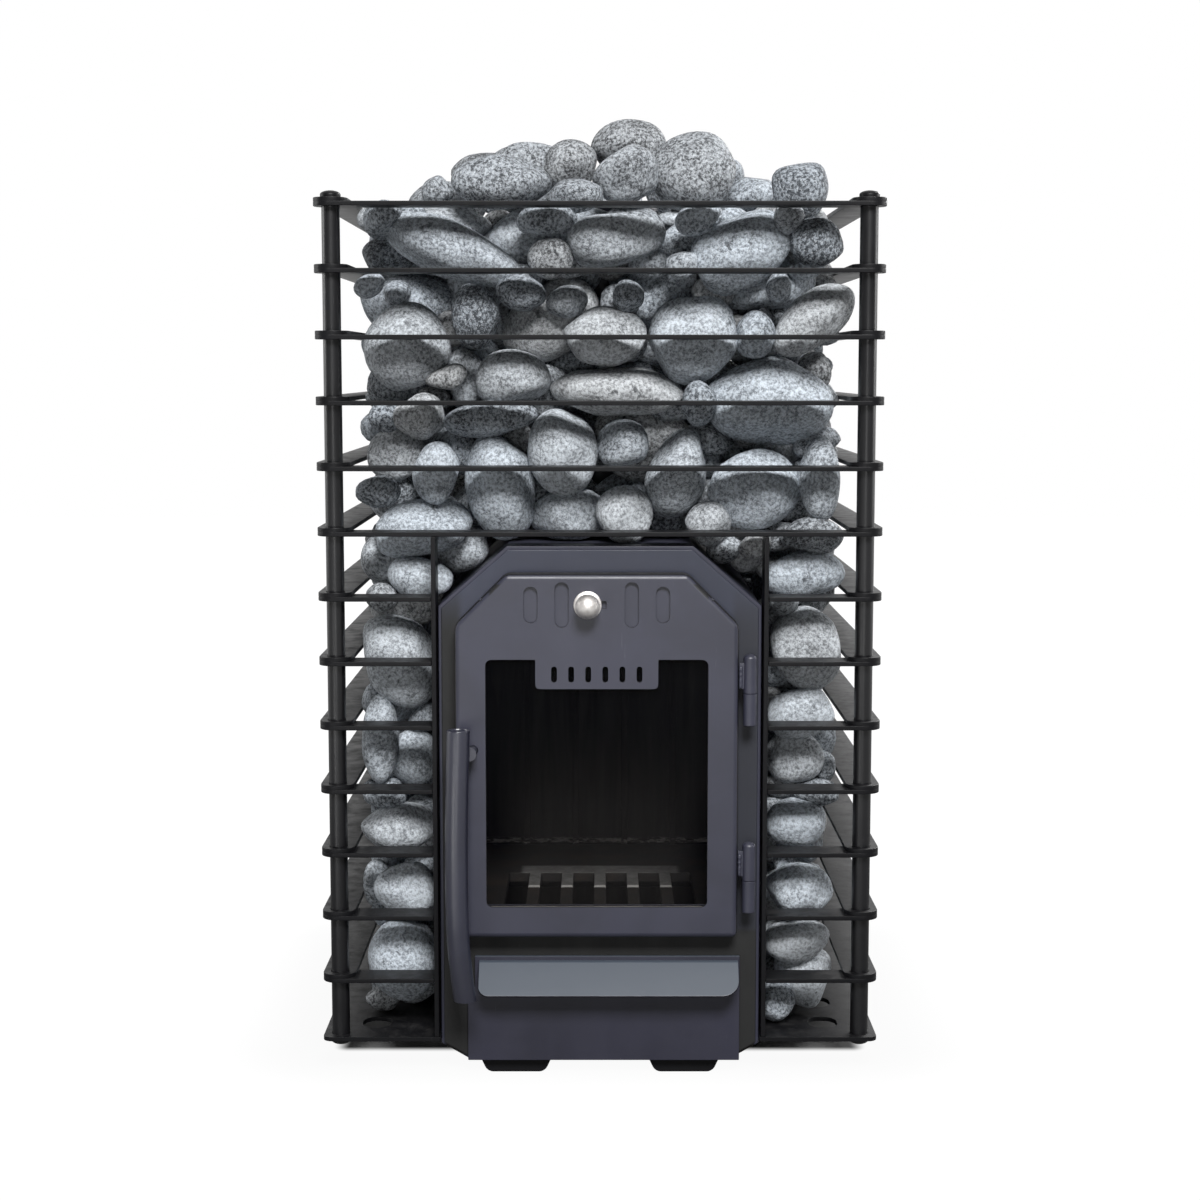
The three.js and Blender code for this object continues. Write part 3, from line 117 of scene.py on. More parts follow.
class Recipe:
    """The node tree of one finish, or of the world."""

    def __init__(self, owner):
        owner.use_nodes = True
        self.owner = owner
        self.tree = owner.node_tree
        self.tree.nodes.clear()

    def add(self, kind, settings=None, sockets=None, out=0):
        node = self.tree.nodes.new(kind)
        for name, value in (settings or {}).items():
            setattr(node, name, value)
        for key, value in (sockets or {}).items():
            if isinstance(value, Flow):
                self.tree.links.new(value.socket, node.inputs[key])
            elif isinstance(value, tuple) and len(node.inputs[key].default_value) == 4:
                node.inputs[key].default_value = (*value, 1)
            else:
                node.inputs[key].default_value = value
        return Flow(self, node.outputs[out]) if node.outputs else node

    def place(self):
        return self.add("ShaderNodeTexCoord", out="Object")

    def noise(self, where, scale, detail=3, rough=0.55, warp=0):
        sockets = {"Vector": where, "Scale": scale, "Detail": detail, "Roughness": rough, "Distortion": warp}
        return self.add("ShaderNodeTexNoise", {}, sockets)

    def step(self, value, low, high):
        sockets = {"Value": value, "From Min": low, "From Max": high}
        return self.add("ShaderNodeMapRange", {"interpolation_type": "SMOOTHSTEP"}, sockets)

    def mix(self, mask, first, second, way="MIX"):
        settings = {"data_type": "RGBA", "blend_type": way}
        return self.add("ShaderNodeMix", settings, {0: mask, 6: first, 7: second}, out=2)

    def stretch(self, where, scale):
        return self.add("ShaderNodeMapping", {}, {"Vector": where, "Scale": scale})

    def axis(self, where, letter):
        return self.add("ShaderNodeSeparateXYZ", {}, {0: where}, out=letter)

    def bump(self, height, depth, strength=1.0, under=None):
        sockets = {"Height": height, "Distance": depth * MM, "Strength": strength}
        if under:
            sockets["Normal"] = under
        return self.add("ShaderNodeBump", {}, sockets)

    def finish(self, **sockets):
        named = {name.replace("_", " "): value for name, value in sockets.items()}
        surface = self.add("ShaderNodeBsdfPrincipled", {}, named)
        self.add("ShaderNodeOutputMaterial", {}, {"Surface": surface})
        return self.owner


def new_finish(name):
    return Recipe(bpy.data.materials.new(name))


# %% [markdown]
# ## Light, floor and background
#
# The studio is plain: a soft key lamp high above the camera, a broad weak one behind it, three for
# the other sides, and a pale floor. The key is small enough for each bar to shade the stones
# under it. The white background is only what the camera sees behind the heater. Light Path tells
# the world which rays come from the camera or a reflection, so the white adds no light to the stones.


# %% Studio
def soft_lamp(name, place, aim, width, height, power):
    data = bpy.data.lights.new(name, "AREA")
    data.shape = "RECTANGLE"
    data.size = width
    data.size_y = height
    data.energy = power
    lamp = bpy.data.objects.new(name, data)
    lamp.location = place
    lamp.rotation_euler = (Vector(aim) - Vector(place)).to_track_quat("-Z", "Y").to_euler()
    bpy.context.scene.collection.objects.link(lamp)


soft_lamp("lamp_key", (0.4, -3.3, 3.1), (0, 0, 0.42), 1.5, 1.2, 262)
soft_lamp("lamp_front", (-0.15, -2.9, 0.33), (0, 0, 0.4), 0.6, 0.6, 5.5)
soft_lamp("lamp_low", (-0.75, -1.35, 0.075), (-0.1, -0.25, 0.25), 0.5, 0.13, 1.3)
soft_lamp("lamp_left", (-2.5, 0.2, 1.1), (0, 0, 0.45), 1.0, 1.2, 19)
soft_lamp("lamp_right", (2.5, 0.2, 1.1), (0, 0, 0.45), 1.0, 1.2, 19)
soft_lamp("lamp_behind", (1.7, 2.0, 1.7), (0, 0, 0.45), 1.2, 1.0, 72)


def seen_directly(recipe):
    """1 on rays from the camera, from a reflection and through glass."""
    rays = [recipe.add("ShaderNodeLightPath", out=f"Is {kind} Ray")
            for kind in ("Camera", "Glossy", "Transmission")]
    return rays[0], recipe.add("ShaderNodeMath", {"operation": "MAXIMUM"}, {0: rays[1], 1: rays[2]})


STUDIO_GREY = 0.02
world = bpy.data.worlds.new("studio")
bpy.context.scene.world = world
room = Recipe(world)
camera_ray, mirror_ray = seen_directly(room)
# A reflection only shows the white behind the heater; the side of the camera is dimmer
behind = room.step(room.axis(room.add("ShaderNodeTexCoord", out="Generated"), "Y"), -0.1, 0.35)
white = room.add("ShaderNodeMath", {"operation": "MAXIMUM"}, {0: camera_ray, 1: mirror_ray * behind})
glow = room.add("ShaderNodeBackground", {}, {
    "Color": (1.0, 1.0, 1.0), "Strength": white * (1 - STUDIO_GREY) + STUDIO_GREY})
room.add("ShaderNodeOutputWorld", {}, {"Surface": glow})

bpy.ops.object.select_all(action="DESELECT")
bpy.ops.mesh.primitive_plane_add(size=14)
floor = bpy.context.object
floor.name = "floor"
floor_recipe = new_finish("floor_white")
camera_ray, mirror_ray = seen_directly(floor_recipe)
spot = floor_recipe.place()
# The floor is plain paper under and near the heater, and the camera sees it fade to white further out
beyond = [floor_recipe.add("ShaderNodeMath", {"operation": "MAXIMUM"}, {0: floor_recipe.add(
    "ShaderNodeMath", {"operation": "ABSOLUTE"}, {0: floor_recipe.axis(spot, letter) - middle}) - half, 1: 0.0})
    for letter, middle, half in (("X", 0, 0.235), ("Y", 0.05, 0.19))]
away = floor_recipe.add("ShaderNodeMath", {"operation": "SQRT"}, {
    0: beyond[0] * beyond[0] + beyond[1] * beyond[1]})
matt = floor_recipe.add("ShaderNodeBsdfDiffuse", {}, {"Color": (0.15, 0.15, 0.15)})
lit = floor_recipe.add("ShaderNodeEmission", {}, {"Color": (1.0, 1.0, 1.0), "Strength": 1.05})
fade = 0.9 * floor_recipe.step(away, 0, 0.016) + 0.1 * floor_recipe.step(away, 0.03, 0.2)
far = floor_recipe.step(away, 0.9, 2.4)
seen = floor_recipe.add("ShaderNodeMath", {"operation": "MAXIMUM"}, {0: camera_ray * fade, 1: mirror_ray * far})
shown = floor_recipe.add("ShaderNodeMixShader", {}, {0: seen, 1: matt, 2: lit})
floor_recipe.add("ShaderNodeOutputMaterial", {}, {"Surface": shown})
floor.data.materials.append(floor_recipe.owner)
print("studio ready")

# %% [markdown]
# ## Finishes
#
# Heat-proof paint is satin, slightly blue and never quite even: it clouds in broad patches, has a
# very fine grain, and gets thin scuffs and a little dust where it faces up. The same recipe with
# other numbers makes the drawer's paint, a darker copy as painted shade with painted light on its
# upward faces, and the door's paint, with painted shade in black on its sideways walls. The frame's
# paint is a darker copy too, as painted shade, and near black beside and under the door. The
# firebox adds soot wherever its own inside is, which is told by the place of a point, because one
# welded piece carries both faces.


# %% Paint and soot
def paint_layers(recipe, tint, gloss):
    where = recipe.place()
    cloud = recipe.noise(where, 11, 5, 0.6, 0.6)
    smear = recipe.noise(recipe.stretch(where, (30, 30, 9)), 1, 4, 0.65, 1.2)
    grain = recipe.noise(where, 1900, 2)
    scuffs = recipe.step(recipe.noise(recipe.stretch(where, (240, 240, 22)), 1, 3, 0.7), 0.68, 0.8)
    up = recipe.axis(recipe.add("ShaderNodeNewGeometry", out="Normal"), "Z")
    dust = recipe.step(up, 0.55, 1) * recipe.step(recipe.noise(where, 60, 5, 0.7), 0.42, 0.75)
    dark = tuple(0.85 * value for value in tint)
    pale = tuple(1.15 * value for value in tint)
    colour = recipe.mix(recipe.step(cloud, 0.3, 0.7), dark, pale)
    colour = recipe.mix(scuffs * 0.16, colour, (0.22, 0.22, 0.23))
    colour = recipe.mix(dust * 0.06, colour, (0.3, 0.29, 0.28))
    rough = gloss + 0.08 * recipe.step(smear, 0.3, 0.75) + 0.1 * scuffs + 0.2 * dust
    normal = recipe.bump(grain, 0.05, 0.5, recipe.bump(cloud, 0.25, 0.35))
    return where, colour, rough, normal


def paint(name, tint, gloss, shine, upper=None, rim=None):
    recipe = new_finish(name)
    where, colour, rough, normal = paint_layers(recipe, tint, gloss)
    if upper:
        # Painted light: faces that point up get a lighter colour, as if lit from above
        up = recipe.axis(recipe.add("ShaderNodeNewGeometry", out="Normal"), "Z")
        colour = recipe.mix(recipe.step(up, 0.45, 0.65), colour, upper)
    if rim:
        # Painted shade: faces that turn sideways, such as the walls of the openings and the outer part of rounded
        # edges, and the rounded edges of the vents turn black, as if in shadow
        turned_away = recipe.axis(recipe.add("ShaderNodeNewGeometry", out="True Normal"), "Y")
        turned_away = recipe.add("ShaderNodeMath", {"operation": "ABSOLUTE"}, {0: turned_away})
        x, z = recipe.axis(where, "X"), recipe.axis(where, "Z")
        vents = recipe.step(z, 0.402, 0.404) * recipe.step(z, 0.448, 0.446)
        vents *= recipe.step(x, -0.098, -0.096) * recipe.step(x, 0.096, 0.094)
        dark = recipe.add("ShaderNodeMath", {"operation": "MAXIMUM"}, {
            0: recipe.step(turned_away, 0.7, 0.45), 1: vents * recipe.step(turned_away, 0.98, 0.9)})
        colour = recipe.mix(dark, colour, rim)
    return recipe.finish(
        Base_Color=colour, Roughness=rough, Normal=normal, Metallic=0.0, Specular_IOR_Level=shine)


def frame_finish():
    """The frame's paint: a darker copy of the stove's paint, with painted shade near black beside the door and under
    it.
    """
    recipe = new_finish("frame_paint")
    # Painted shade: the frame's colour is darker than the stove's paint, for its place set back behind the door
    where, colour, rough, normal = paint_layers(recipe, (0.019, 0.0225, 0.041), 0.42)
    x, z = recipe.axis(where, "X"), recipe.axis(where, "Z")
    # Painted shade: near black beside the door and under it, where the door shades the frame; it is rougher there too
    beside = (recipe.step(x, -0.12, -0.128) + 0.6 * recipe.step(x, 0.114, 0.122)) * recipe.step(z, 0.46, 0.4)
    painted_door_shade = recipe.add("ShaderNodeMath", {"operation": "MAXIMUM"}, {0: beside, 1: recipe.step(z, 0.14, 0.13)})
    return recipe.finish(
        Base_Color=recipe.mix(painted_door_shade, colour, (0.002, 0.002, 0.002)), Roughness=rough + 0.25 * painted_door_shade,
        Normal=normal, Metallic=0.0, Specular_IOR_Level=0.6)


BLACK = (0.006, 0.006, 0.007)
STOVE_GREY = (0.0255, 0.0265, 0.044)
cage_paint = paint("cage_paint", BLACK, 0.38, 0.18)
post_paint = paint("post_paint", BLACK, 0.3, 0.5)
stove_paint = paint("stove_paint", STOVE_GREY, 0.42, 0.7)
# Painted shade: the door's sideways walls and vent edges are painted black
door_paint = paint("door_paint", STOVE_GREY, 0.42, 0.7, rim=BLACK)
handle_paint = paint("handle_paint", (0.017, 0.018, 0.032), 0.33, 1.0)
# Painted shade and light: a darker copy of the stove's paint, lighter on its upward faces
drawer_paint = paint("drawer_paint", (0.021, 0.021, 0.035), 0.42, 0.5, (0.046, 0.058, 0.077))
frame_paint = frame_finish()

SOOT = (0.012, 0.011, 0.01)
fire_low, fire_high = (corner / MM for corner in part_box("firebox_shell"))
WALL = 5


def soot_layers(recipe, where):
    streak = recipe.noise(recipe.stretch(where, (45, 45, 4)), 1, 5, 0.65, 0.8)
    flake = recipe.noise(where, 130, 4, 0.65)
    colour = recipe.mix(recipe.step(streak, 0.35, 0.75), SOOT, (0.05, 0.046, 0.042))
    colour = recipe.mix(recipe.step(flake, 0.62, 0.75) * 0.35, colour, (0.13, 0.115, 0.1))
    return colour, 0.72 + 0.2 * flake, recipe.bump(flake, 0.5, 0.6)


def sooted(name):
    recipe = new_finish(name)
    where = recipe.place()
    colour, rough, normal = soot_layers(recipe, where)
    z = recipe.axis(where, "Z")
    settled = recipe.step(z, 0.3, 0.15) * recipe.noise(recipe.stretch(where, (60, 60, 5)), 1, 4, 0.6)
    colour = recipe.mix(settled, colour, (0.2, 0.18, 0.16))
    ash = recipe.step(z, 0.147, 0.143) * recipe.step(z, 0.138, 0.1395)
    ash *= recipe.step(recipe.noise(recipe.stretch(where, (70, 70, 420)), 1, 4, 0.7), 0.46, 0.56)
    colour = recipe.mix(ash, colour, (0.95, 0.9, 0.84))
    return recipe.finish(Base_Color=colour, Roughness=rough, Normal=normal, Metallic=0.0)


sooted_steel = sooted("sooted_steel")


def firebox_paint():
    recipe = new_finish("firebox_paint")
    where, colour, rough, normal = paint_layers(recipe, STOVE_GREY, 0.4)
    black, matt_rough, flaky = soot_layers(recipe, where)
    x, y, z = (recipe.axis(where, letter) for letter in "XYZ")
    margin = WALL * 0.8
    across = recipe.add("ShaderNodeMath", {"operation": "ABSOLUTE"}, {0: x})
    chamfered = across * 53.5 + z * 61
    inside = recipe.step(across, (fire_high.x - margin) * MM, (fire_high.x - margin - 0.4) * MM)
    inside *= recipe.step(y, (fire_high.y - margin) * MM, (fire_high.y - margin - 0.4) * MM)
    inside *= recipe.step(z, (fire_low.z + margin) * MM, (fire_low.z + margin + 0.4) * MM)
    roof = (53.5 * fire_high.x + 61 * (fire_high.z - 53.5) - margin * 81.1) * MM
    inside *= recipe.step(chamfered, roof, roof - 0.03)
    inside *= recipe.step(z, (fire_high.z - margin) * MM, (fire_high.z - margin - 0.4) * MM)
    both = recipe.add("ShaderNodeMix", {"data_type": "VECTOR"}, {0: inside, 4: normal, 5: flaky}, out=1)
    return recipe.finish(
        Base_Color=recipe.mix(inside, colour, black), Normal=both,
        Roughness=rough + inside * 0.3, Metallic=0.0, Specular_IOR_Level=0.5)


shell_paint = firebox_paint()

# %% [markdown]
# The grate is a raw casting: coarse skin and brown-black, with painted light on the upward faces of
# its bars, which are lighter in colour and polished smoother, and a painted highlight, near white, in a
# narrow band across their tops. The knob is turned steel, so its brushing runs in rings round its
# axis. The seals are braided glass-fibre rope, where two slanted waves cross. The window is smoked
# ceramic glass: it lets through two thirds of the light, and a film of ash lies on its lower middle.


# %% Casting, steel, rope and glass
def casting():
    recipe = new_finish("cast_iron")
    where = recipe.place()
    skin = recipe.noise(where, 420, 4, 0.6)
    rust = recipe.noise(where, 36, 5, 0.6, 0.5)
    up = recipe.axis(recipe.add("ShaderNodeNewGeometry", out="Normal"), "Z")
    x, y = (recipe.axis(where, letter) for letter in "XY")
    across = recipe.add("ShaderNodeMath", {"operation": "ABSOLUTE"}, {0: x})
    upward_faces = recipe.step(up, 0.3, 0.9) * recipe.step(across, 0.08, 0.074)
    # Painted light and polish: upward faces of the bars get a lighter colour and less roughness
    polish_and_top_light = upward_faces * recipe.step(y, 0.006, 0.0) * recipe.step(y, -0.086, -0.08)
    polish_and_top_light *= 0.6 + 0.4 * recipe.step(recipe.noise(where, 90, 4, 0.7), 0.3, 0.7)
    # Painted highlight: a narrow band across the tops of the bars is near white
    ridge_highlight = upward_faces * recipe.step(y, -0.088, -0.084) * recipe.step(y, -0.076, -0.08)
    colour = recipe.mix(recipe.step(rust, 0.4, 0.7), (0.03, 0.027, 0.025), (0.05, 0.038, 0.03))
    colour = recipe.mix(polish_and_top_light, colour, (0.3, 0.295, 0.285))
    colour = recipe.mix(ridge_highlight, colour, (0.95, 0.92, 0.88))
    return recipe.finish(
        Base_Color=colour, Roughness=0.72 - 0.25 * polish_and_top_light, Metallic=0.0, Normal=recipe.bump(skin, 0.35, 0.7))


def turned_steel(axis_x, axis_z):
    recipe = new_finish("satin_steel")
    where = recipe.place()
    centred = recipe.add("ShaderNodeMapping", {}, {
        "Vector": where, "Location": Vector((-axis_x, 0, -axis_z)), "Scale": (1, 0, 1)})
    radius = recipe.add("ShaderNodeVectorMath", {"operation": "LENGTH"}, {0: centred}, out="Value")
    ring_place = recipe.add("ShaderNodeCombineXYZ", {}, {
        0: radius * 5200, 1: recipe.axis(where, "Y") * 5200})
    rings = recipe.noise(ring_place, 1, 2)
    stain = recipe.noise(where, 240, 4)
    colour = recipe.mix(recipe.step(stain, 0.35, 0.7), (0.68, 0.65, 0.63), (0.84, 0.82, 0.8))
    return recipe.finish(
        Base_Color=colour, Metallic=1.0, Roughness=0.5 + 0.08 * rings + 0.1 * stain,
        Normal=recipe.bump(rings, 0.03, 0.5))


def braid():
    recipe = new_finish("rope_seal")
    where = recipe.place()
    waves = [recipe.add("ShaderNodeTexWave", {"bands_direction": "DIAGONAL"}, {
        "Vector": recipe.stretch(where, (260 * turn, 260, 260)), "Scale": 1.0,
        "Distortion": 1.5, "Detail": 2.0}, out="Fac") for turn in (1, -1)]
    strands = recipe.add("ShaderNodeMath", {"operation": "MAXIMUM"}, {0: waves[0], 1: waves[1]})
    ash = recipe.noise(where, 50, 4)
    colour = recipe.mix(strands, (0.05, 0.046, 0.042), (0.24, 0.225, 0.2))
    colour = recipe.mix(recipe.step(ash, 0.45, 0.7) * 0.6, colour, (0.06, 0.055, 0.05))
    return recipe.finish(
        Base_Color=colour, Roughness=0.95, Metallic=0.0, Normal=recipe.bump(strands, 0.8, 0.8))


def smoked_glass():
    recipe = new_finish("smoked_glass")
    where = recipe.place()
    haze = recipe.step(recipe.noise(recipe.stretch(where, (9, 9, 6)), 1, 5, 0.7, 0.8), 0.45, 0.85)
    specks = recipe.step(recipe.noise(where, 300, 2), 0.78, 0.82)
    x, z = (recipe.axis(where, letter) for letter in "XZ")
    across = recipe.add("ShaderNodeMath", {"operation": "ABSOLUTE"}, {0: x})
    film = recipe.step(z, 0.33, 0.2) * recipe.step(across, 0.095, 0.05)
    film *= 0.5 + 0.5 * recipe.noise(recipe.stretch(where, (50, 50, 8)), 1, 4, 0.6, 0.6)
    colour = recipe.mix(film, (0.002, 0.002, 0.003), (0.019, 0.018, 0.018))
    colour = recipe.mix(haze * 0.1 + specks * 0.6, colour, (0.05, 0.05, 0.055))
    return recipe.finish(
        Base_Color=colour, Roughness=0.04 + 0.1 * haze, Metallic=0.0,
        Alpha=0.28 + 0.08 * haze + 0.3 * specks, IOR=1.15)


cast_iron = casting()
knob_low, knob_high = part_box("air_knob")
knob_middle = (knob_low + knob_high) / 2
satin_steel = turned_steel(knob_middle.x, knob_middle.z)
rope_seal = braid()
dark_glass = smoked_glass()

# %% [markdown]
# Heating stones are tumbled grey rock: a blue-grey ground with soft clouds, packed with dark and
# white grains of two or three millimetres, and here and there a stain of dark mineral. Each stone
# carries its own tone as a number on its mesh, so neighbours differ although they share one finish.


# %% Stone
def stone_finish():
    recipe = new_finish("heating_stone")
    where = recipe.place()
    tone = recipe.add("ShaderNodeAttribute", {"attribute_name": "tone"}, out="Fac")
    warmth = recipe.add("ShaderNodeAttribute", {"attribute_name": "warmth"}, out="Fac")
    cloud = recipe.noise(where, 40, 4, 0.6, 0.5)
    grain = recipe.step(recipe.noise(where, 340, 4, 0.72), 0.36, 0.64)
    crystal = recipe.step(recipe.noise(recipe.stretch(where, (1, 1.3, 0.8)), 560, 2, 0.6), 0.58, 0.68)
    stain = recipe.step(recipe.noise(where, 120, 5, 0.72, 0.7), 0.56, 0.66)
    stain *= recipe.step(recipe.noise(where, 22, 3), 0.42, 0.6)
    light = recipe.mix(warmth, (0.56, 0.615, 0.675), (0.59, 0.575, 0.55))
    deep = recipe.mix(warmth, (0.038, 0.044, 0.052), (0.06, 0.054, 0.048))
    ground = recipe.mix(tone + (cloud - 0.5) * 0.9 + (grain - 0.5) * 0.7, deep, light)
    colour = recipe.mix(crystal * 0.4, ground, (0.72, 0.76, 0.8))
    colour = recipe.mix(stain * 0.75, colour, (0.03, 0.033, 0.038))
    lumps = recipe.bump(recipe.noise(where, 95, 4, 0.6), 2.2, 0.55)
    normal = recipe.bump(grain + crystal * 0.4 - stain * 0.8, 0.45, 0.6, lumps)
    return recipe.finish(
        Base_Color=colour, Roughness=0.82 - 0.16 * crystal, Metallic=0.0, Normal=normal)


heating_stone = stone_finish()
print("finishes:", len(bpy.data.materials))

# %% [markdown]
# ## The bench tools
#
# Every steel piece starts as a primitive at its true size and place. These few helpers keep the
# steps short: pick edges or faces by a test, round them, carve with a cutter, break all the sharp
# edges with a Bevel, and level the shading with Weighted Normals so that big faces stay flat.


# %% Bench tools
def span(node):
    """Lowest and highest corner of a solid, in millimetres."""
    low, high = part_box(node)
    return low / MM, high / MM


def take(piece):
    """Makes one piece the only thing that operators act on."""
    if bpy.context.mode != "OBJECT":
        bpy.ops.object.mode_set(mode="OBJECT")
    bpy.ops.object.select_all(action="DESELECT")
    piece.select_set(True)
    bpy.context.view_layer.objects.active = piece
    return piece


def settle_transform(piece, name):
    take(piece)
    piece.name = piece.data.name = name
    bpy.ops.object.transform_apply(location=True, rotation=True, scale=True)
    return piece


def block(name, low, high):
    low, high = Vector(low) * MM, Vector(high) * MM
    bpy.ops.object.select_all(action="DESELECT")
    bpy.ops.mesh.primitive_cube_add(size=1, location=(low + high) / 2, scale=high - low)
    return settle_transform(bpy.context.object, name)


def rod(name, low_end, high_end, radius, sides=48):
    low_end, high_end = Vector(low_end) * MM, Vector(high_end) * MM
    run = high_end - low_end
    bpy.ops.object.select_all(action="DESELECT")
    bpy.ops.mesh.primitive_cylinder_add(
        vertices=sides, radius=radius * MM, depth=run.length, location=(low_end + high_end) / 2,
        rotation=run.to_track_quat("Z", "Y").to_euler())
    return settle_transform(bpy.context.object, name)


def pick(piece, kind, test):
    """Enters edit mode with the edges or faces selected whose middle and direction pass a test."""
    take(piece)
    bpy.ops.object.mode_set(mode="EDIT")
    bpy.ops.mesh.select_mode(type=kind)
    bpy.ops.mesh.select_all(action="DESELECT")
    mesh = bmesh.from_edit_mesh(piece.data)
    if kind == "EDGE":
        for edge in mesh.edges:
            first, second = (corner.co / MM for corner in edge.verts)
            edge.select_set(test((first + second) / 2, (second - first).normalized()))
    else:
        for face in mesh.faces:
            face.select_set(test(face.calc_center_median() / MM, face.normal))
    mesh.select_flush_mode()
    bmesh.update_edit_mesh(piece.data)


def round_edges(piece, radius, test, segments=4):
    pick(piece, "EDGE", test)
    bpy.ops.mesh.bevel(offset=radius * MM, segments=segments, affect="EDGES")
    bpy.ops.object.mode_set(mode="OBJECT")
    return piece


def upright_edge(middle, along):
    return abs(along.z) > 0.99


def depth_edge(middle, along):
    return abs(along.y) > 0.99


def join(name, pieces):
    take(pieces[0])
    for piece in pieces[1:]:
        piece.select_set(True)
    bpy.ops.object.join()
    pieces[0].name = pieces[0].data.name = name
    return pieces[0]


def carve(piece, cutter, operation="DIFFERENCE"):
    take(piece)
    cut = piece.modifiers.new("cut", "BOOLEAN")
    cut.operation = operation
    cut.solver = "EXACT"
    cut.object = cutter
    bpy.ops.object.modifier_apply(modifier=cut.name)
    bpy.data.objects.remove(cutter)
    return piece


def level_shading(piece, angle=40):
    take(piece)
    bpy.ops.object.shade_smooth_by_angle(angle=math.radians(angle))
    level = piece.modifiers.new("level", "WEIGHTED_NORMAL")
    level.keep_sharp = True
    bpy.ops.object.modifier_apply(modifier=level.name)
    return piece


def break_edges(piece, width=0.5, segments=2, angle=32):
    take(piece)
    edge = piece.modifiers.new("edge", "BEVEL")
    edge.width = width * MM
    edge.segments = segments
    edge.limit_method = "ANGLE"
    edge.angle_limit = math.radians(angle)
    bpy.ops.object.modifier_apply(modifier=edge.name)
    return level_shading(piece)


def bisect_off(piece, point, normal):
    """Cuts a corner off and closes the cut."""
    take(piece)
    bpy.ops.object.mode_set(mode="EDIT")
    bpy.ops.mesh.select_all(action="SELECT")
    bpy.ops.mesh.bisect(
        plane_co=Vector(point) * MM, plane_no=normal, use_fill=True, clear_outer=True)
    bpy.ops.object.mode_set(mode="OBJECT")
    return piece


def copy_of(piece, name, shift=(0, 0, 0)):
    copy = bpy.data.objects.new(name, piece.data.copy())
    copy.data.transform(Matrix.Translation(Vector(shift) * MM))
    bpy.context.scene.collection.objects.link(copy)
    return copy


def turned(name, profile, foot, direction, steps=48):
    """Spins a profile of [radius, distance along the axis] about an axis that starts at foot."""
    bpy.ops.object.select_all(action="DESELECT")
    bpy.ops.mesh.primitive_plane_add(size=MM)
    piece = bpy.context.object
    bpy.ops.object.mode_set(mode="EDIT")
    bpy.ops.mesh.select_mode(type="VERT")
    bpy.ops.mesh.select_all(action="SELECT")
    bpy.ops.mesh.merge(type="CENTER")
    radius, along = profile[0]
    bpy.ops.transform.translate(value=(radius * MM, 0, along * MM))
    for next_radius, next_along in profile[1:]:
        bpy.ops.mesh.extrude_region_move(TRANSFORM_OT_translate={
            "value": ((next_radius - radius) * MM, 0, (next_along - along) * MM)})
        radius, along = next_radius, next_along
    bpy.ops.mesh.select_all(action="SELECT")
    bpy.ops.mesh.spin(steps=steps, angle=math.tau, center=(0, 0, 0), axis=(0, 0, 1))
    bpy.ops.mesh.select_all(action="SELECT")
    bpy.ops.mesh.remove_doubles(threshold=0.00001)
    bpy.ops.mesh.normals_make_consistent(inside=False)
    bpy.ops.object.mode_set(mode="OBJECT")
    piece.rotation_euler = Vector(direction).to_track_quat("Z", "Y").to_euler()
    piece.location = Vector(foot) * MM
    return level_shading(settle_transform(piece, name))


pieces_made = []


def fit(piece, body, slot_name, finish, *solids):
    """Gives a finished piece its paint, its moving body and the solids that it stands for."""
    piece.data.materials.clear()
    piece.data.materials.append(finish)
    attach(piece, body)
    if solids:
        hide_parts(*solids)
    pieces_made.append(piece.name)
    return piece


# %% [markdown]
# ## Cage rings
#
# A ring is four flat bars: two lie front and back, and two lie on their ends at the sides. The
# seven lower rings stop at the uprights beside the firebox. One ring of each kind is modelled, with
# its rounded corners and the holes for the posts, and then copied to each level.

# %% Cage rings
BAR = 30
SHEET = 4
BAR_CORNER = 8
BAR_END = 14
POST_RADIUS = 8
cage_low, cage_high = span("base_plate")
left, front, back, right = cage_low.x, cage_low.y, cage_high.y, cage_high.x
posts = {
    f"{along}_{across}": (x, y)
    for along, y in (("front", front + BAR / 2), ("back", back - BAR / 2))
    for across, x in (("left", left + BAR / 2), ("right", right - BAR / 2))}
ring_low, ring_high = span("cage_ring_01")
side_low = ring_high.z - ring_low.z - SHEET
stub_end = span("upright_left")[0].x - 0.3


def post_cutters(name, low, high):
    return join(name, [
        rod(name, (x, y, low), (x, y, high), POST_RADIUS + 0.3, 32) for x, y in posts.values()])


def flat_bar(low, high, corners=upright_edge):
    bar = round_edges(block("bar", low, high), BAR_END, corners, 8)
    return carve(bar, post_cutters("post_cut", low[2] - 5, high[2] + 5))


def cage_ring(name, open_front):
    sides = [flat_bar((x, front, side_low), (x + BAR, back, side_low + SHEET)) for x in (left, right - BAR)]
    rear = flat_bar((left, back - BAR, 0), (right, back, SHEET))
    if open_front:
        fronts = [
            flat_bar((left, front, 0), (stub_end, front + BAR, SHEET),
                     lambda middle, along: upright_edge(middle, along) and middle.x < left + 1),
            flat_bar((-stub_end, front, 0), (right, front + BAR, SHEET),
                     lambda middle, along: upright_edge(middle, along) and middle.x > right - 1)]
    else:
        fronts = [flat_bar((left, front, 0), (right, front + BAR, SHEET))]
    return break_edges(join(name, sides + [rear] + fronts), 0.6)


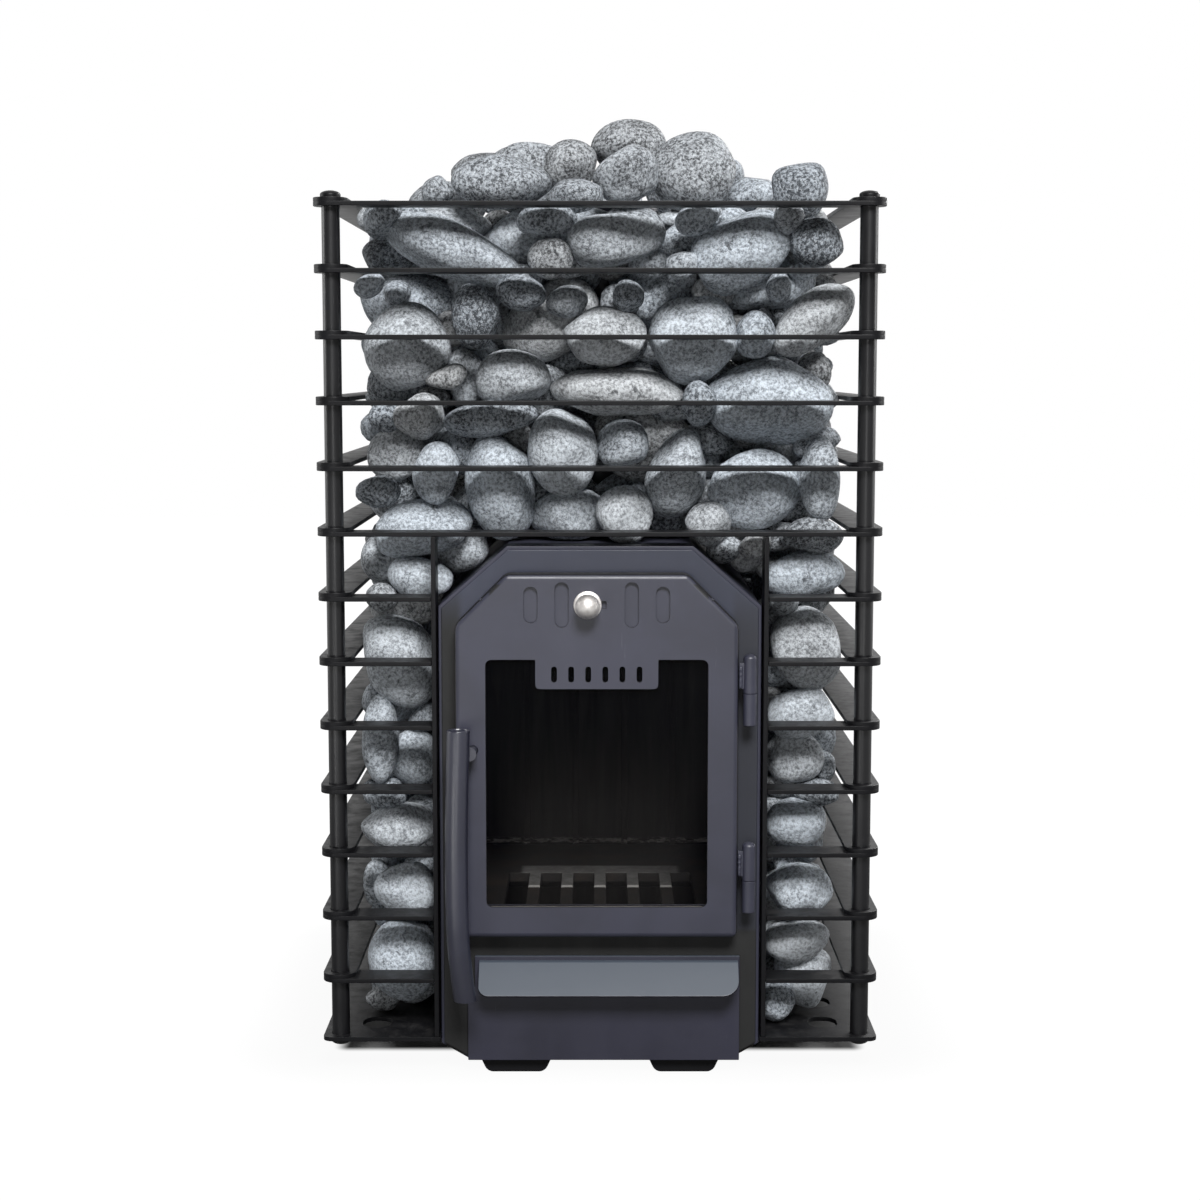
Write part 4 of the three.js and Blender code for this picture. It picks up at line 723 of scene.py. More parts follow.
ring_levels = [span(f"cage_ring_{number:02d}")[0].z for number in range(1, 14)]
open_ring = cage_ring("open_ring", True)
full_ring = cage_ring("full_ring", False)
door_head = fire_high.z
for number, level in enumerate(ring_levels, 1):
    pattern = open_ring if level < door_head else full_ring
    ring = copy_of(pattern, f"ring_{number:02d}", (0, 0, level))
    fit(ring, "root", "black_paint", cage_paint, f"cage_ring_{number:02d}")
for pattern in (open_ring, full_ring):
    bpy.data.objects.remove(pattern)
print("rings:", len(ring_levels), "levels from", round(ring_levels[0]), "to", round(ring_levels[-1]))

# %% [markdown]
# ## Posts and cap nuts
#
# The corner posts are round bar with a domed head under the base plate, and a cap nut holds the top
# ring down. Round parts are easiest to spin from half of their outline.

# %% Posts and cap nuts
post_low, post_high = span("post_front_left")
nut_low, nut_high = span("cap_nut_front_left")
nut_radius = (nut_high.x - nut_low.x) / 2
nut_height = nut_high.z - nut_low.z
head_top = span("base_plate")[0].z - 0.3


def dome(radius, rim, height, steps=7):
    """Outline of a dome from its rim to its crown."""
    return [(radius * math.cos(t * math.pi / 2 / steps),
             rim + (height - rim) * math.sin(t * math.pi / 2 / steps)) for t in range(steps)] + [(0, height)]


post_outline = [(radius, head_top - along) for radius, along in dome(nut_radius, 2, nut_height)][::-1]
post_outline += [(nut_radius, head_top), (POST_RADIUS, head_top), (POST_RADIUS, post_high.z), (0, post_high.z)]
nut_outline = [(0, 0), (nut_radius - 0.4, 0), (nut_radius, 0.4)] + dome(nut_radius, 2.4, nut_height)
for place, (x, y) in posts.items():
    post = turned(f"cage_post_{place}", post_outline, (x, y, 0), (0, 0, 1), 40)
    fit(post, "root", "black_paint", post_paint, f"post_{place}")
    nut = turned(f"domed_nut_{place}", nut_outline, (x, y, nut_low.z), (0, 0, 1), 40)
    fit(nut, "root", "black_paint", cage_paint, f"cap_nut_{place}")
print("posts:", len(posts))

# %% [markdown]
# ## Base plate and uprights
#
# The base plate carries the stones. It is notched for the firebox and slotted so that air rises
# between the stones. Two upright bars close the gap between the cage and the firebox.

# %% Base plate and uprights
AIR_SLOT = (26, 33)
AIR_SLOT_PITCH = 64
AIR_SLOT_FRONT = 45
plate = round_edges(block("stone_floor", cage_low, cage_high), BAR_CORNER, upright_edge, 5)
low, high = cage_low.z - 5, cage_high.z + 5
carve(plate, block("notch", (fire_low.x - 0.3, front - 5, low), (fire_high.x + 0.3, fire_high.y + 0.3, high)))
carve(plate, post_cutters("post_cut", low, high))
slots = []
for x in (left + BAR + 15, right - BAR - 15):
    for index in range(7):
        y = front + AIR_SLOT_FRONT + index * AIR_SLOT_PITCH
        half_x, half_y = AIR_SLOT[0] / 2, AIR_SLOT[1] / 2
        slots.append(round_edges(
            block("slot", (x - half_x, y - half_y, low), (x + half_x, y + half_y, high)),
            half_x - 0.2, upright_edge, 6))
carve(plate, join("slots", slots))
fit(break_edges(plate), "root", "black_paint", cage_paint, "base_plate")
for side in ("left", "right"):
    bar = block(f"side_upright_{side}", *span(f"upright_{side}"))
    fit(break_edges(bar), "root", "black_paint", cage_paint, f"upright_{side}")
print("air slots:", len(slots))

# %% [markdown]
# ## Pieces whose solids are already right
#
# Flat sheet and plate keep the shape of their solids. A copy is welded together from its loose
# triangles, its flat faces are merged, and its edges are broken like real cut steel.


# %% Sheet and plate with broken edges
def edge_broken(node, name, width=0.5, segments=2):
    piece = bpy.data.objects.new(name, nodes[node].data.copy())
    bpy.context.scene.collection.objects.link(piece)
    take(piece)
    bpy.ops.object.mode_set(mode="EDIT")
    bpy.ops.mesh.select_all(action="SELECT")
    bpy.ops.mesh.remove_doubles(threshold=0.00001)
    bpy.ops.mesh.dissolve_limited(angle_limit=math.radians(1))
    bpy.ops.object.mode_set(mode="OBJECT")
    return break_edges(piece, width, segments)


fit(edge_broken("firebox_shell", "firebox_body", 0.8), "root", "black_paint", shell_paint, "firebox_shell")
fit(edge_broken("front_frame", "firebox_front", 0.7), "root", "black_paint", frame_paint, "front_frame")
for node, name, width, body, slot_name, finish in (
        ("back_liner", "ribbed_liner", 0.8, "root", "sooted_steel", sooted_steel),
        ("baffle_plate", "smoke_baffle", 0.6, "root", "sooted_steel", sooted_steel),
        ("latch_keeper", "keeper_strip", 0.4, "root", "black_paint", stove_paint),
        ("grate", "fire_grate", 1.2, "root", "cast_iron", cast_iron),
        ("ash_tray", "ash_pan", 0.4, "ash_drawer", "sooted_steel", sooted_steel),
        ("glass_retainer", "glass_frame", 0.4, "door", "black_paint", stove_paint),
        ("slider_guide_top", "slider_rail_top", 0.3, "door", "black_paint", stove_paint),
        ("slider_guide_bottom", "slider_rail_bottom", 0.3, "door", "black_paint", stove_paint),
        ("door_seal", "rope_round_door", 1.9, "door", "rope_seal", rope_seal),
        ("glass_seal", "rope_round_glass", 0.6, "door", "rope_seal", rope_seal),
        ("door_glass", "window_pane", 0.5, "door", "dark_glass", dark_glass),
        ("latch_hook", "closing_hook", 0.5, "latch", "black_paint", stove_paint)):
    fit(edge_broken(node, name, width), body, slot_name, finish, node)
print("edge-broken pieces done")

# %% [markdown]
# ## Feet and flue
#
# The feet are short pressed channels, wider above than below. The flue stub is rolled tube.

# %% Feet and flue
for place in posts:
    low, high = span(f"foot_{place}")
    foot = block(f"pressed_foot_{place}", low, high)
    pick(foot, "FACE", lambda middle, normal: normal.z < -0.9)
    bpy.ops.transform.resize(value=(52 / 64, 1, 1))
    bpy.ops.object.mode_set(mode="OBJECT")
    round_edges(foot, 5, lambda middle, along: abs(along.y) > 0.9 and middle.z < 2, 5)
    fit(break_edges(foot), "root", "black_paint", cage_paint, f"foot_{place}")

flue_low, flue_high = span("flue_stub")
flue_radius = (flue_high.x - flue_low.x) / 2
flue_middle = (flue_low + flue_high) / 2
FLUE_WALL = 3
flue_length = flue_high.z - flue_low.z
bore = flue_radius - FLUE_WALL
flue = turned("flue_tube", [
    (bore, 0), (flue_radius, 0), (flue_radius, flue_length - 1), (flue_radius - 1, flue_length),
    (bore + 1, flue_length), (bore, flue_length - 1), (bore, 0)],
    (flue_middle.x, flue_middle.y, flue_low.z), (0, 0, 1), 72)
fit(flue, "root", "black_paint", stove_paint, "flue_stub")
print("flue radius:", round(flue_radius, 1))

# %% [markdown]
# ## Door
#
# The door is a folded pan: a face with a large soft edge and four sides that stand back to the
# frame. A block gets its two cut corners by bisecting, its front edges are rounded in one bevel,
# and its back edge is bevelled too, which leaves the dark line that shows round a closed door. The
# back is then inset and pushed in. The window, the vents and the small slots are carved last, with
# a notch in the middle of each slanted edge, where the folder's jaw needs room.

# %% Door pan
door_low, door_high = span("door_panel")
DOOR_WALL = 3
DOOR_FOLD = 5
DOOR_GROOVE = 2.5
CHAMFER = (46, 45)
middle_x = (door_low.x + door_high.x) / 2
door = block("door_leaf", door_low, door_high)
for side, edge_x in ((-1, door_low.x), (1, door_high.x)):
    bisect_off(door, (edge_x, 0, door_high.z - CHAMFER[1]), (side * CHAMFER[1], 0, CHAMFER[0]))
round_edges(door, DOOR_FOLD, lambda middle, along: middle.y < door_low.y + 1 or abs(along.y) > 0.99, 5)
round_edges(door, DOOR_GROOVE, lambda middle, along: middle.y > door_high.y - 0.1, 1)
pick(door, "FACE", lambda middle, normal: normal.y > 0.9)
bpy.ops.mesh.inset(thickness=(DOOR_WALL - DOOR_GROOVE) * MM)
hollow = door_high.y - door_low.y - DOOR_WALL
bpy.ops.mesh.extrude_region_move(TRANSFORM_OT_translate={"value": (0, -hollow * MM, 0)})
bpy.ops.object.mode_set(mode="OBJECT")
print("door pan:", [round(value) for value in door_high - door_low])

# %% Window, vents and slots
WINDOW_RAIL = 26.9
WINDOW_SILL = 28
WINDOW_HEAD = 75.4
TAB = (108, 26)
VENT_ROW = 27
VENTS = ((30.7, 40), (58, 32))
VENT_WIDTH = 12.3
SLIDE_TRAVEL = 13
cut_front, cut_back = door_low.y - 4, door_low.y + DOOR_WALL + 4
window_low = (door_low.x + WINDOW_RAIL, cut_front, door_low.z + WINDOW_SILL)
window_high = (door_high.x - WINDOW_RAIL, cut_back, door_high.z - WINDOW_HEAD)
vent_level = door_high.z - VENT_ROW


def stadium(x, z, width, height, front_y, back_y):
    shape = block("slot", (x - width / 2, front_y, z - height / 2), (x + width / 2, back_y, z + height / 2))
    return round_edges(shape, width / 2 - 0.1, depth_edge, 8)


window = round_edges(block("window", window_low, window_high), 5.5, depth_edge, 5)
tab = block("tab", (middle_x - TAB[0] / 2, cut_front - 2, window_high[2] - TAB[1]),
            (middle_x + TAB[0] / 2, cut_back + 2, window_high[2] + 9))
round_edges(tab, 4, lambda middle, along: depth_edge(middle, along) and middle.z < window_high[2], 4)
carve(window, tab)
carve(door, window)
vent_xs = [(middle_x + side * offset, height) for offset, height in VENTS for side in (-1, 1)]
cutters = [stadium(x, vent_level, VENT_WIDTH, height, cut_front, cut_back) for x, height in vent_xs]
for index in range(6):
    x = middle_x + (index - 2.5) * 15
    cutters.append(stadium(x, window_high[2] - TAB[1] / 2, 5, 14, cut_front, cut_back))
knob_x = knob_middle.x / MM
cutters.append(round_edges(
    block("knob_slot", (knob_x - 3.6, cut_front, vent_level - 3.6),
          (knob_x + SLIDE_TRAVEL + 3.6, cut_back, vent_level + 3.6)), 1.2, depth_edge, 3))
spindle_low, spindle_high = span("latch_spindle")
pivot_x = spindle_high.x - 4
pivot_z = (spindle_low.z + spindle_high.z) / 2
cutters.append(rod("spindle_hole", (pivot_x, cut_front, pivot_z), (pivot_x, cut_back, pivot_z), 4.6, 32))
for side, edge_x in ((-1, door_low.x), (1, door_high.x)):
    x, z = edge_x - side * CHAMFER[0] / 2, door_high.z - CHAMFER[1] / 2
    cutters.append(rod("notch", (x, cut_front, z), (x, door_low.y + 9, z), 1.5, 20))
carve(door, join("door_cuts", cutters))
fit(break_edges(door, 0.35), "door", "black_paint", door_paint, "door_panel")
print("door openings:", len(cutters) + 1)

# %% [markdown]
# ## Air slider and knob
#
# The slider is a strip behind the vents with slots of its own, a little to one side, so pushing the
# knob opens the vents. The knob is a turned ball on a collar.

# %% Air slider and knob
slider_low, slider_high = span("air_slider")
slider_low.y += 0.7
slider = block("vent_slider", slider_low, slider_high)
slider_cuts = [
    stadium(x - SLIDE_TRAVEL, vent_level, VENT_WIDTH, height, slider_low.y - 4, slider_high.y + 4)
    for x, height in vent_xs if x - SLIDE_TRAVEL - VENT_WIDTH / 2 > slider_low.x]
slider_cuts.append(rod(
    "stud_hole", (knob_x, slider_low.y - 4, vent_level), (knob_x, slider_high.y + 4, vent_level), 3.3, 32))
carve(slider, join("slider_cuts", slider_cuts))
fit(break_edges(slider, 0.25), "air_control", "black_paint", stove_paint, "air_slider")

knob_seat = knob_high.y / MM
knob_radius = (knob_high.z - knob_low.z) / 2 / MM
ball = [(knob_radius * math.sin(t), knob_radius * (0.95 - math.cos(t)))
        for t in (math.radians(18 + 9 * step) for step in range(18))]
knob_outline = [(3.4, 0)] + ball + [(0, knob_radius * 1.95)]
knob = turned("turned_knob", knob_outline, (knob_x, knob_seat, vent_level), (0, -1, 0), 56)
fit(knob, "air_control", "satin_steel", satin_steel, "air_knob")
stud_low, stud_high = span("air_knob_stud")
COLLAR_RADIUS = 12.3
face = door_low.y - 0.3 - stud_low.y
collar = [(0, 0), (3, 0), (4.5, face - 4), (COLLAR_RADIUS - 0.9, face - 2.2), (COLLAR_RADIUS, face - 1.4),
          (COLLAR_RADIUS, face - 0.4), (COLLAR_RADIUS - 0.6, face), (3, face),
          (3, stud_high.y - stud_low.y), (0, stud_high.y - stud_low.y)]
stud = turned("knob_stud", collar, (knob_x, stud_low.y, vent_level), (0, 1, 0), 40)
fit(stud, "air_control", "satin_steel", satin_steel, "air_knob_stud")
print("knob radius:", round(knob_radius, 2))

# %% [markdown]
# ## Hinges
#
# Each hinge is a pair of lift-off knuckles: the lower one is welded to the frame and holds the pin,
# the upper one drops over it. A weld bead is a row of overlapping drops that have run together.


# %% Hinges
def weld_bead(name, start, end, radius, seed):
    """A row of drops, melted into one skin by a voxel remesh and a little smoothing."""
    chance = random.Random(seed)
    start, end = Vector(start), Vector(end)
    count = max(3, round((end - start).length / (radius * 0.8)))
    drops = []
    for index in range(count + 1):
        spot = start.lerp(end, index / count) * MM
        bpy.ops.object.select_all(action="DESELECT")
        size = radius * chance.uniform(0.85, 1.1) * MM
        bpy.ops.mesh.primitive_ico_sphere_add(subdivisions=2, radius=size, location=spot)
        drops.append(settle_transform(bpy.context.object, name))
    bead = join(name, drops)
    melt = bead.modifiers.new("melt", "REMESH")
    melt.mode = "VOXEL"
    melt.voxel_size = radius * 0.22 * MM
    even = bead.modifiers.new("even", "SMOOTH")
    even.iterations = 4
    take(bead)
    for modifier in (melt, even):
        bpy.ops.object.modifier_apply(modifier=modifier.name)
    bpy.ops.object.shade_smooth()
    return bead


KNUCKLE = 6
for place in ("upper", "lower"):
    low, high = span(f"hinge_{place}_door_knuckle")
    x, y = high.x - KNUCKLE, (low.y + high.y) / 2
    height = high.z - low.z
    outline = [(3.3, 0), (KNUCKLE - 0.5, 0), (KNUCKLE, 0.5)] + dome(KNUCKLE, height - 4, height)
    outline = outline[:-1] + [(0, height), (0, height - 8), (3.3, height - 8), (3.3, 0)]
    knuckle = turned(f"door_knuckle_{place}", outline, (x, y, low.z), (0, 0, 1), 40)
    tab = break_edges(block("tab", (low.x, y - 2.5, low.z + 4), (x - 4.5, y + 2.5, high.z - 8)), 0.6)
    bead = weld_bead("bead", (low.x + 1.4, y - 2.6, low.z + 6), (low.x + 1.4, y - 2.6, high.z - 12), 1.9, 3)
    fit(join(f"door_knuckle_{place}", [knuckle, tab, bead]), "door", "black_paint", stove_paint,
        f"hinge_{place}_door_knuckle")

    low, high = span(f"hinge_{place}_frame_knuckle")
    split = span(f"hinge_{place}_door_knuckle")[0].z - 0.3
    outline = [(0, low.z), (KNUCKLE - 0.6, low.z), (KNUCKLE, low.z + 0.6), (KNUCKLE, split - 0.4),
               (KNUCKLE - 0.4, split), (3, split), (3, high.z - 1), (2, high.z), (0, high.z)]
    knuckle = turned(f"frame_knuckle_{place}", outline, (x, y, 0), (0, 0, 1), 40)
    tab = break_edges(block("tab", (x - 2.5, y + 4.5, low.z + 4), (x + 2.5, high.y, split - 4)), 0.6)
    bead = weld_bead("bead", (x + 2.6, high.y - 1.7, low.z + 5), (x + 2.6, high.y - 1.7, split - 5), 1.7, 5)
    fit(join(f"frame_knuckle_{place}", [knuckle, tab, bead]), "root", "black_paint", stove_paint,
        f"hinge_{place}_frame_knuckle")
print("hinges: 2")

# %% [markdown]
# ## Handle
#
# The handle is bent tube: straight from its flat-cut top, with the lower third set towards the
# door. A circle is extruded upwards step by step, and each step is shifted a little sideways.

# %% Handle
handle_low, handle_high = span("door_handle")
HANDLE_RADIUS = 10
handle_y = (handle_low.y + handle_high.y) / 2
handle_top_x = -123


def handle_x(level):
    """Sideways place of the tube's middle at a height."""
    lower = max(0, (165 - level) / (165 - handle_low.z))
    bow = math.sin(math.pi * (handle_high.z - level) / (handle_high.z - handle_low.z))
    return handle_top_x - 2.2 * bow + 4.5 * lower ** 2


def handle_depth(level):
    """The tube bows forwards: both ends stand nearer to the door."""
    part = (level - 150) / (handle_high.z - 150 if level > 150 else 150 - handle_low.z)
    return 5 * abs(part) ** 1.6


# The lug reaches from the tube to the shaft, which goes through the door to the hook
lug_back = spindle_low.y + 4
lug = round_edges(block("spindle_lug", (spindle_low.x, spindle_low.y, pivot_z - 6),
                        (spindle_high.x, lug_back, pivot_z + 6)), 5.5, depth_edge, 8)
shaft = rod("spindle_shaft", (pivot_x, lug_back - 1, pivot_z), (pivot_x, spindle_high.y, pivot_z), 4, 32)
carve(lug, shaft, "UNION")
lug.name = "handle_spindle"
fit(break_edges(lug, 0.4), "latch", "black_paint", handle_paint, "latch_spindle")

levels = [handle_low.z + (handle_high.z - handle_low.z) * step / 30 for step in range(31)]
bpy.ops.object.select_all(action="DESELECT")
bpy.ops.mesh.primitive_circle_add(
    vertices=40, radius=HANDLE_RADIUS * MM, fill_type="NGON",
    location=(handle_x(levels[0]) * MM, (handle_y + handle_depth(levels[0])) * MM, levels[0] * MM))
handle = settle_transform(bpy.context.object, "tube_handle")
bpy.ops.object.mode_set(mode="EDIT")
bpy.ops.mesh.select_all(action="SELECT")
for lower, upper in zip(levels, levels[1:]):
    bpy.ops.mesh.extrude_region_move(TRANSFORM_OT_translate={"value": (
        (handle_x(upper) - handle_x(lower)) * MM, (handle_depth(upper) - handle_depth(lower)) * MM,
        (upper - lower) * MM)})
bpy.ops.mesh.inset(thickness=1.8 * MM)
bpy.ops.mesh.extrude_region_move(TRANSFORM_OT_translate={"value": (0, 0, -1.2 * MM)})
bpy.ops.mesh.select_all(action="SELECT")
bpy.ops.mesh.normals_make_consistent(inside=False)
bpy.ops.object.mode_set(mode="OBJECT")
fit(break_edges(handle, 0.7, 2, 50), "latch", "black_paint", handle_paint, "door_handle")
print("handle steps:", len(levels) - 1)

# %% [markdown]
# ## Ash drawer front
#
# The drawer front is one sheet: it stands in front of the frame, folds over at the top and comes
# forward as a sloping lip, which is the pull. A strip is extruded along the fold, the lower corners
# of the lip are rounded, and Solidify gives the sheet its thickness.

# %% Ash drawer front
drawer_low, drawer_high = span("ash_drawer_front")
LIP_LEFT, LIP_RIGHT = -108.5, 124
LIP_ANGLE = math.radians(42)
LIP_SLANT = 34.5
LIP_DROP = 5.2
PLATE = 4
FOLD = 3.2
plate_back = drawer_high.y
plate_front = plate_back - PLATE
plate = block("drawer_plate", (drawer_low.x, plate_front, drawer_low.z),
              (drawer_high.x, plate_back, drawer_high.z - 0.5))
notch = block("handle_notch", (drawer_low.x - 5, plate_front - 5, 78), (LIP_LEFT - 4, plate_back + 5, drawer_high.z + 5))
round_edges(notch, 3, lambda middle, along: depth_edge(middle, along) and middle.x > LIP_LEFT - 5 and middle.z < 90, 4)
carve(plate, notch)
break_edges(plate, 0.6)

fold_middle = (plate_front - 1.2, drawer_high.z - LIP_DROP - FOLD)
path = [(plate_front + 1.8, drawer_high.z - LIP_DROP - 2 * FOLD)]
turn = math.pi - LIP_ANGLE
for step in range(9):
    angle = turn * step / 8
    path.append((fold_middle[0] + FOLD * math.cos(angle), fold_middle[1] + FOLD * math.sin(angle)))
slope = (-math.sin(LIP_ANGLE), -math.cos(LIP_ANGLE))
end_y, end_z = path[-1]
path += [(end_y + slope[0] * reach, end_z + slope[1] * reach) for reach in (LIP_SLANT * 0.4, LIP_SLANT - 2)]
bpy.ops.object.select_all(action="DESELECT")
bpy.ops.mesh.primitive_plane_add(size=MM)
lip = bpy.context.object
bpy.ops.object.mode_set(mode="EDIT")
bpy.ops.mesh.select_mode(type="VERT")
bpy.ops.mesh.select_all(action="SELECT")
bpy.ops.mesh.merge(type="CENTER")
bpy.ops.transform.translate(value=(LIP_LEFT * MM, path[0][0] * MM, path[0][1] * MM))
bpy.ops.mesh.extrude_region_move(TRANSFORM_OT_translate={"value": ((LIP_RIGHT - LIP_LEFT) * MM, 0, 0)})
bpy.ops.mesh.select_all(action="SELECT")
for (y, z), (next_y, next_z) in zip(path, path[1:]):
    bpy.ops.mesh.extrude_region_move(TRANSFORM_OT_translate={"value": (0, (next_y - y) * MM, (next_z - z) * MM)})
bpy.ops.object.mode_set(mode="OBJECT")
settle_transform(lip, "drawer_lip")
for corner_x, radius in ((LIP_LEFT, 9), (LIP_RIGHT, 15)):
    bpy.ops.object.mode_set(mode="EDIT")
    bpy.ops.mesh.select_mode(type="VERT")
    bpy.ops.mesh.select_all(action="DESELECT")
    mesh = bmesh.from_edit_mesh(lip.data)
    for corner in mesh.verts:
        spot = corner.co / MM
        corner.select_set(abs(spot.x - corner_x) < 0.1 and abs(spot.z - path[-1][1]) < 0.1)
    bmesh.update_edit_mesh(lip.data)
    bpy.ops.mesh.bevel(offset=radius * MM, segments=6, affect="VERTICES")
    bpy.ops.object.mode_set(mode="OBJECT")
take(lip)
bpy.ops.object.mode_set(mode="EDIT")
bpy.ops.mesh.select_all(action="SELECT")
bpy.ops.mesh.normals_make_consistent(inside=False)
bpy.ops.object.mode_set(mode="OBJECT")
sheet = lip.modifiers.new("sheet", "SOLIDIFY")
sheet.thickness = 3 * MM
sheet.offset = 0
bpy.ops.object.modifier_apply(modifier=sheet.name)
break_edges(lip, 0.6)
fit(join("drawer_front", [plate, lip]), "ash_drawer", "grey_paint", drawer_paint, "ash_drawer_front")
print("lip fold steps:", len(path))

# %% [markdown]
# ## Shaping pebbles
#
# A tumbled stone began as a broken block. A sphere is cut flat by a few random planes, which gives
# the broken block, and a finer sphere is shrink-wrapped to it and smoothed, as years in a drum
# would do. A few such pebbles, turned and stretched in many ways, are enough for the whole cage. Each
# is made twice, once with fewer faces for the stones deep inside.

# %% Pebble patterns
PATTERNS = 9
pebbles = {4: [], 3: []}
pebble_meshes = {}
for number in range(PATTERNS):
    chance = random.Random(40 + number)
    bpy.ops.object.select_all(action="DESELECT")
    bpy.ops.mesh.primitive_ico_sphere_add(subdivisions=3, radius=1)
    rough_block = settle_transform(bpy.context.object, "rough_block")
    for cut in range(9):
        normal = Vector((chance.gauss(0, 1), chance.gauss(0, 1), chance.gauss(0, 1))).normalized()
        bisect_off(rough_block, normal * chance.uniform(0.68, 0.93) / MM, normal)
    for detail, smoothing in ((4, 12), (3, 3)):
        bpy.ops.object.select_all(action="DESELECT")
        bpy.ops.mesh.primitive_ico_sphere_add(subdivisions=detail, radius=1.3)
        pebble = settle_transform(bpy.context.object, f"pebble_{number}_{detail}")
        wrap = pebble.modifiers.new("wrap", "SHRINKWRAP")
        wrap.target = rough_block
        wrap.wrap_method = "PROJECT"
        wrap.use_negative_direction = True
        wrap.use_positive_direction = False
        tumble = pebble.modifiers.new("tumble", "SMOOTH")
        tumble.factor = 0.5
        tumble.iterations = smoothing
        for modifier in (wrap, tumble):
            bpy.ops.object.modifier_apply(modifier=modifier.name)
        bpy.ops.object.shade_smooth()
        pebbles[detail].append(np.array([vertex.co for vertex in pebble.data.vertices]))
        pebble_meshes[detail] = pebble.data
        bpy.data.objects.remove(pebble)
    bpy.data.objects.remove(rough_block)
print("pebble patterns:", PATTERNS, "faces:", [len(mesh.polygons) for mesh in pebble_meshes.values()])

# %% [markdown]
# ## Filling the cage
#
# The stones that face the door are placed one by one, the foremost first. Each goes to the front of
# the cage and then back until it clears the stones before it, so a stone that is half hidden ends up
# behind its neighbour. The other sides are filled the same way with scattered stones. The dice are a
# short sum, so the solids could be laid with the same throws and every stone lies on its solid.


# %% Stone yard
class Dice:
    """Repeatable chance: each throw follows from the one before."""

    def __init__(self, seed):
        self.state = seed * 7919

    def roll(self, low=0.0, high=1.0):
        self.state = self.state * 16807 % 2147483647
        return low + (high - low) * self.state / 2147483647


STONE_GAP = 0.6
yard_low = Vector((left + BAR, front + BAR, cage_high.z)) + Vector((STONE_GAP,) * 3)
yard_high = Vector((right - BAR - STONE_GAP, back - BAR - STONE_GAP, span("cage_ring_13")[1].z))
TIGHT = 0.8
# For each side: its axis, the two axes along it, and the way in
SIDES = {"front": (1, 0, 2, 1), "back": (1, 0, 2, -1), "left": (0, 1, 2, 1), "right": (0, 1, 2, -1),
         "top": (2, 0, 1, -1)}
stones = []
middles = np.zeros((0, 3))
reaches = np.zeros((0, 3))


def reach_of(half, tilt, across, up):
    """Half sizes of the box round a stone that is tilted on its side of the cage."""
    turn = math.radians(tilt)
    box = np.array(half, float)
    box[across] = math.hypot(half[across] * math.cos(turn), half[up] * math.sin(turn))
    box[up] = math.hypot(half[across] * math.sin(turn), half[up] * math.cos(turn))
    return box


def roof_level(x):
    """Height of the firebox top at a place across it."""
    return fire_high.z - max(0, (abs(x) - (fire_high.x - 61)) * 53.5 / 61)


def hits_steel(middle, box):
    x, y, z = middle
    if math.hypot(x - flue_middle.x, y - flue_middle.y) < flue_radius + max(box[0], box[1]) * 0.92:
        return True
    beside = abs(x) - box[0] * 0.9 < fire_high.x
    over = y + box[1] * 0.9 > fire_low.y and y - box[1] * 0.9 < fire_high.y
    nearest = max(0, abs(x) - box[0] * 0.45)
    return beside and over and z - box[2] * 0.9 < roof_level(nearest)


def crowded(middle, box):
    gaps = (middles - middle) / (reaches + box)
    return hits_steel(middle, box) or bool(((gaps ** 2).sum(1) < TIGHT).any())


def lay(side, middle, half, tilt, looks, steps=40, fixed=False, detail=4):
    """Moves a stone inwards until it is clear, and keeps it if it finds room."""
    global middles, reaches
    axis, across, up, inward = SIDES[side]
    box = reach_of(half, tilt, across, up)
    middle = np.array(middle, float)
    for step in range(steps):
        if fixed or not crowded(middle, box):
            middles = np.vstack((middles, middle))
            reaches = np.vstack((reaches, box))
            stones.append((side, middle, half, tilt, looks, detail))
            return True
        middle[axis] += 3 * inward
    return False


# %% [markdown]
# The front stones as they lie in the heater, in millimetres: place across, height, the length and
# height of the stone, and its tilt, then a tone from 0, dark, to 1, pale. The lowest tones are
# painted shade on stones that lie back in shadow.

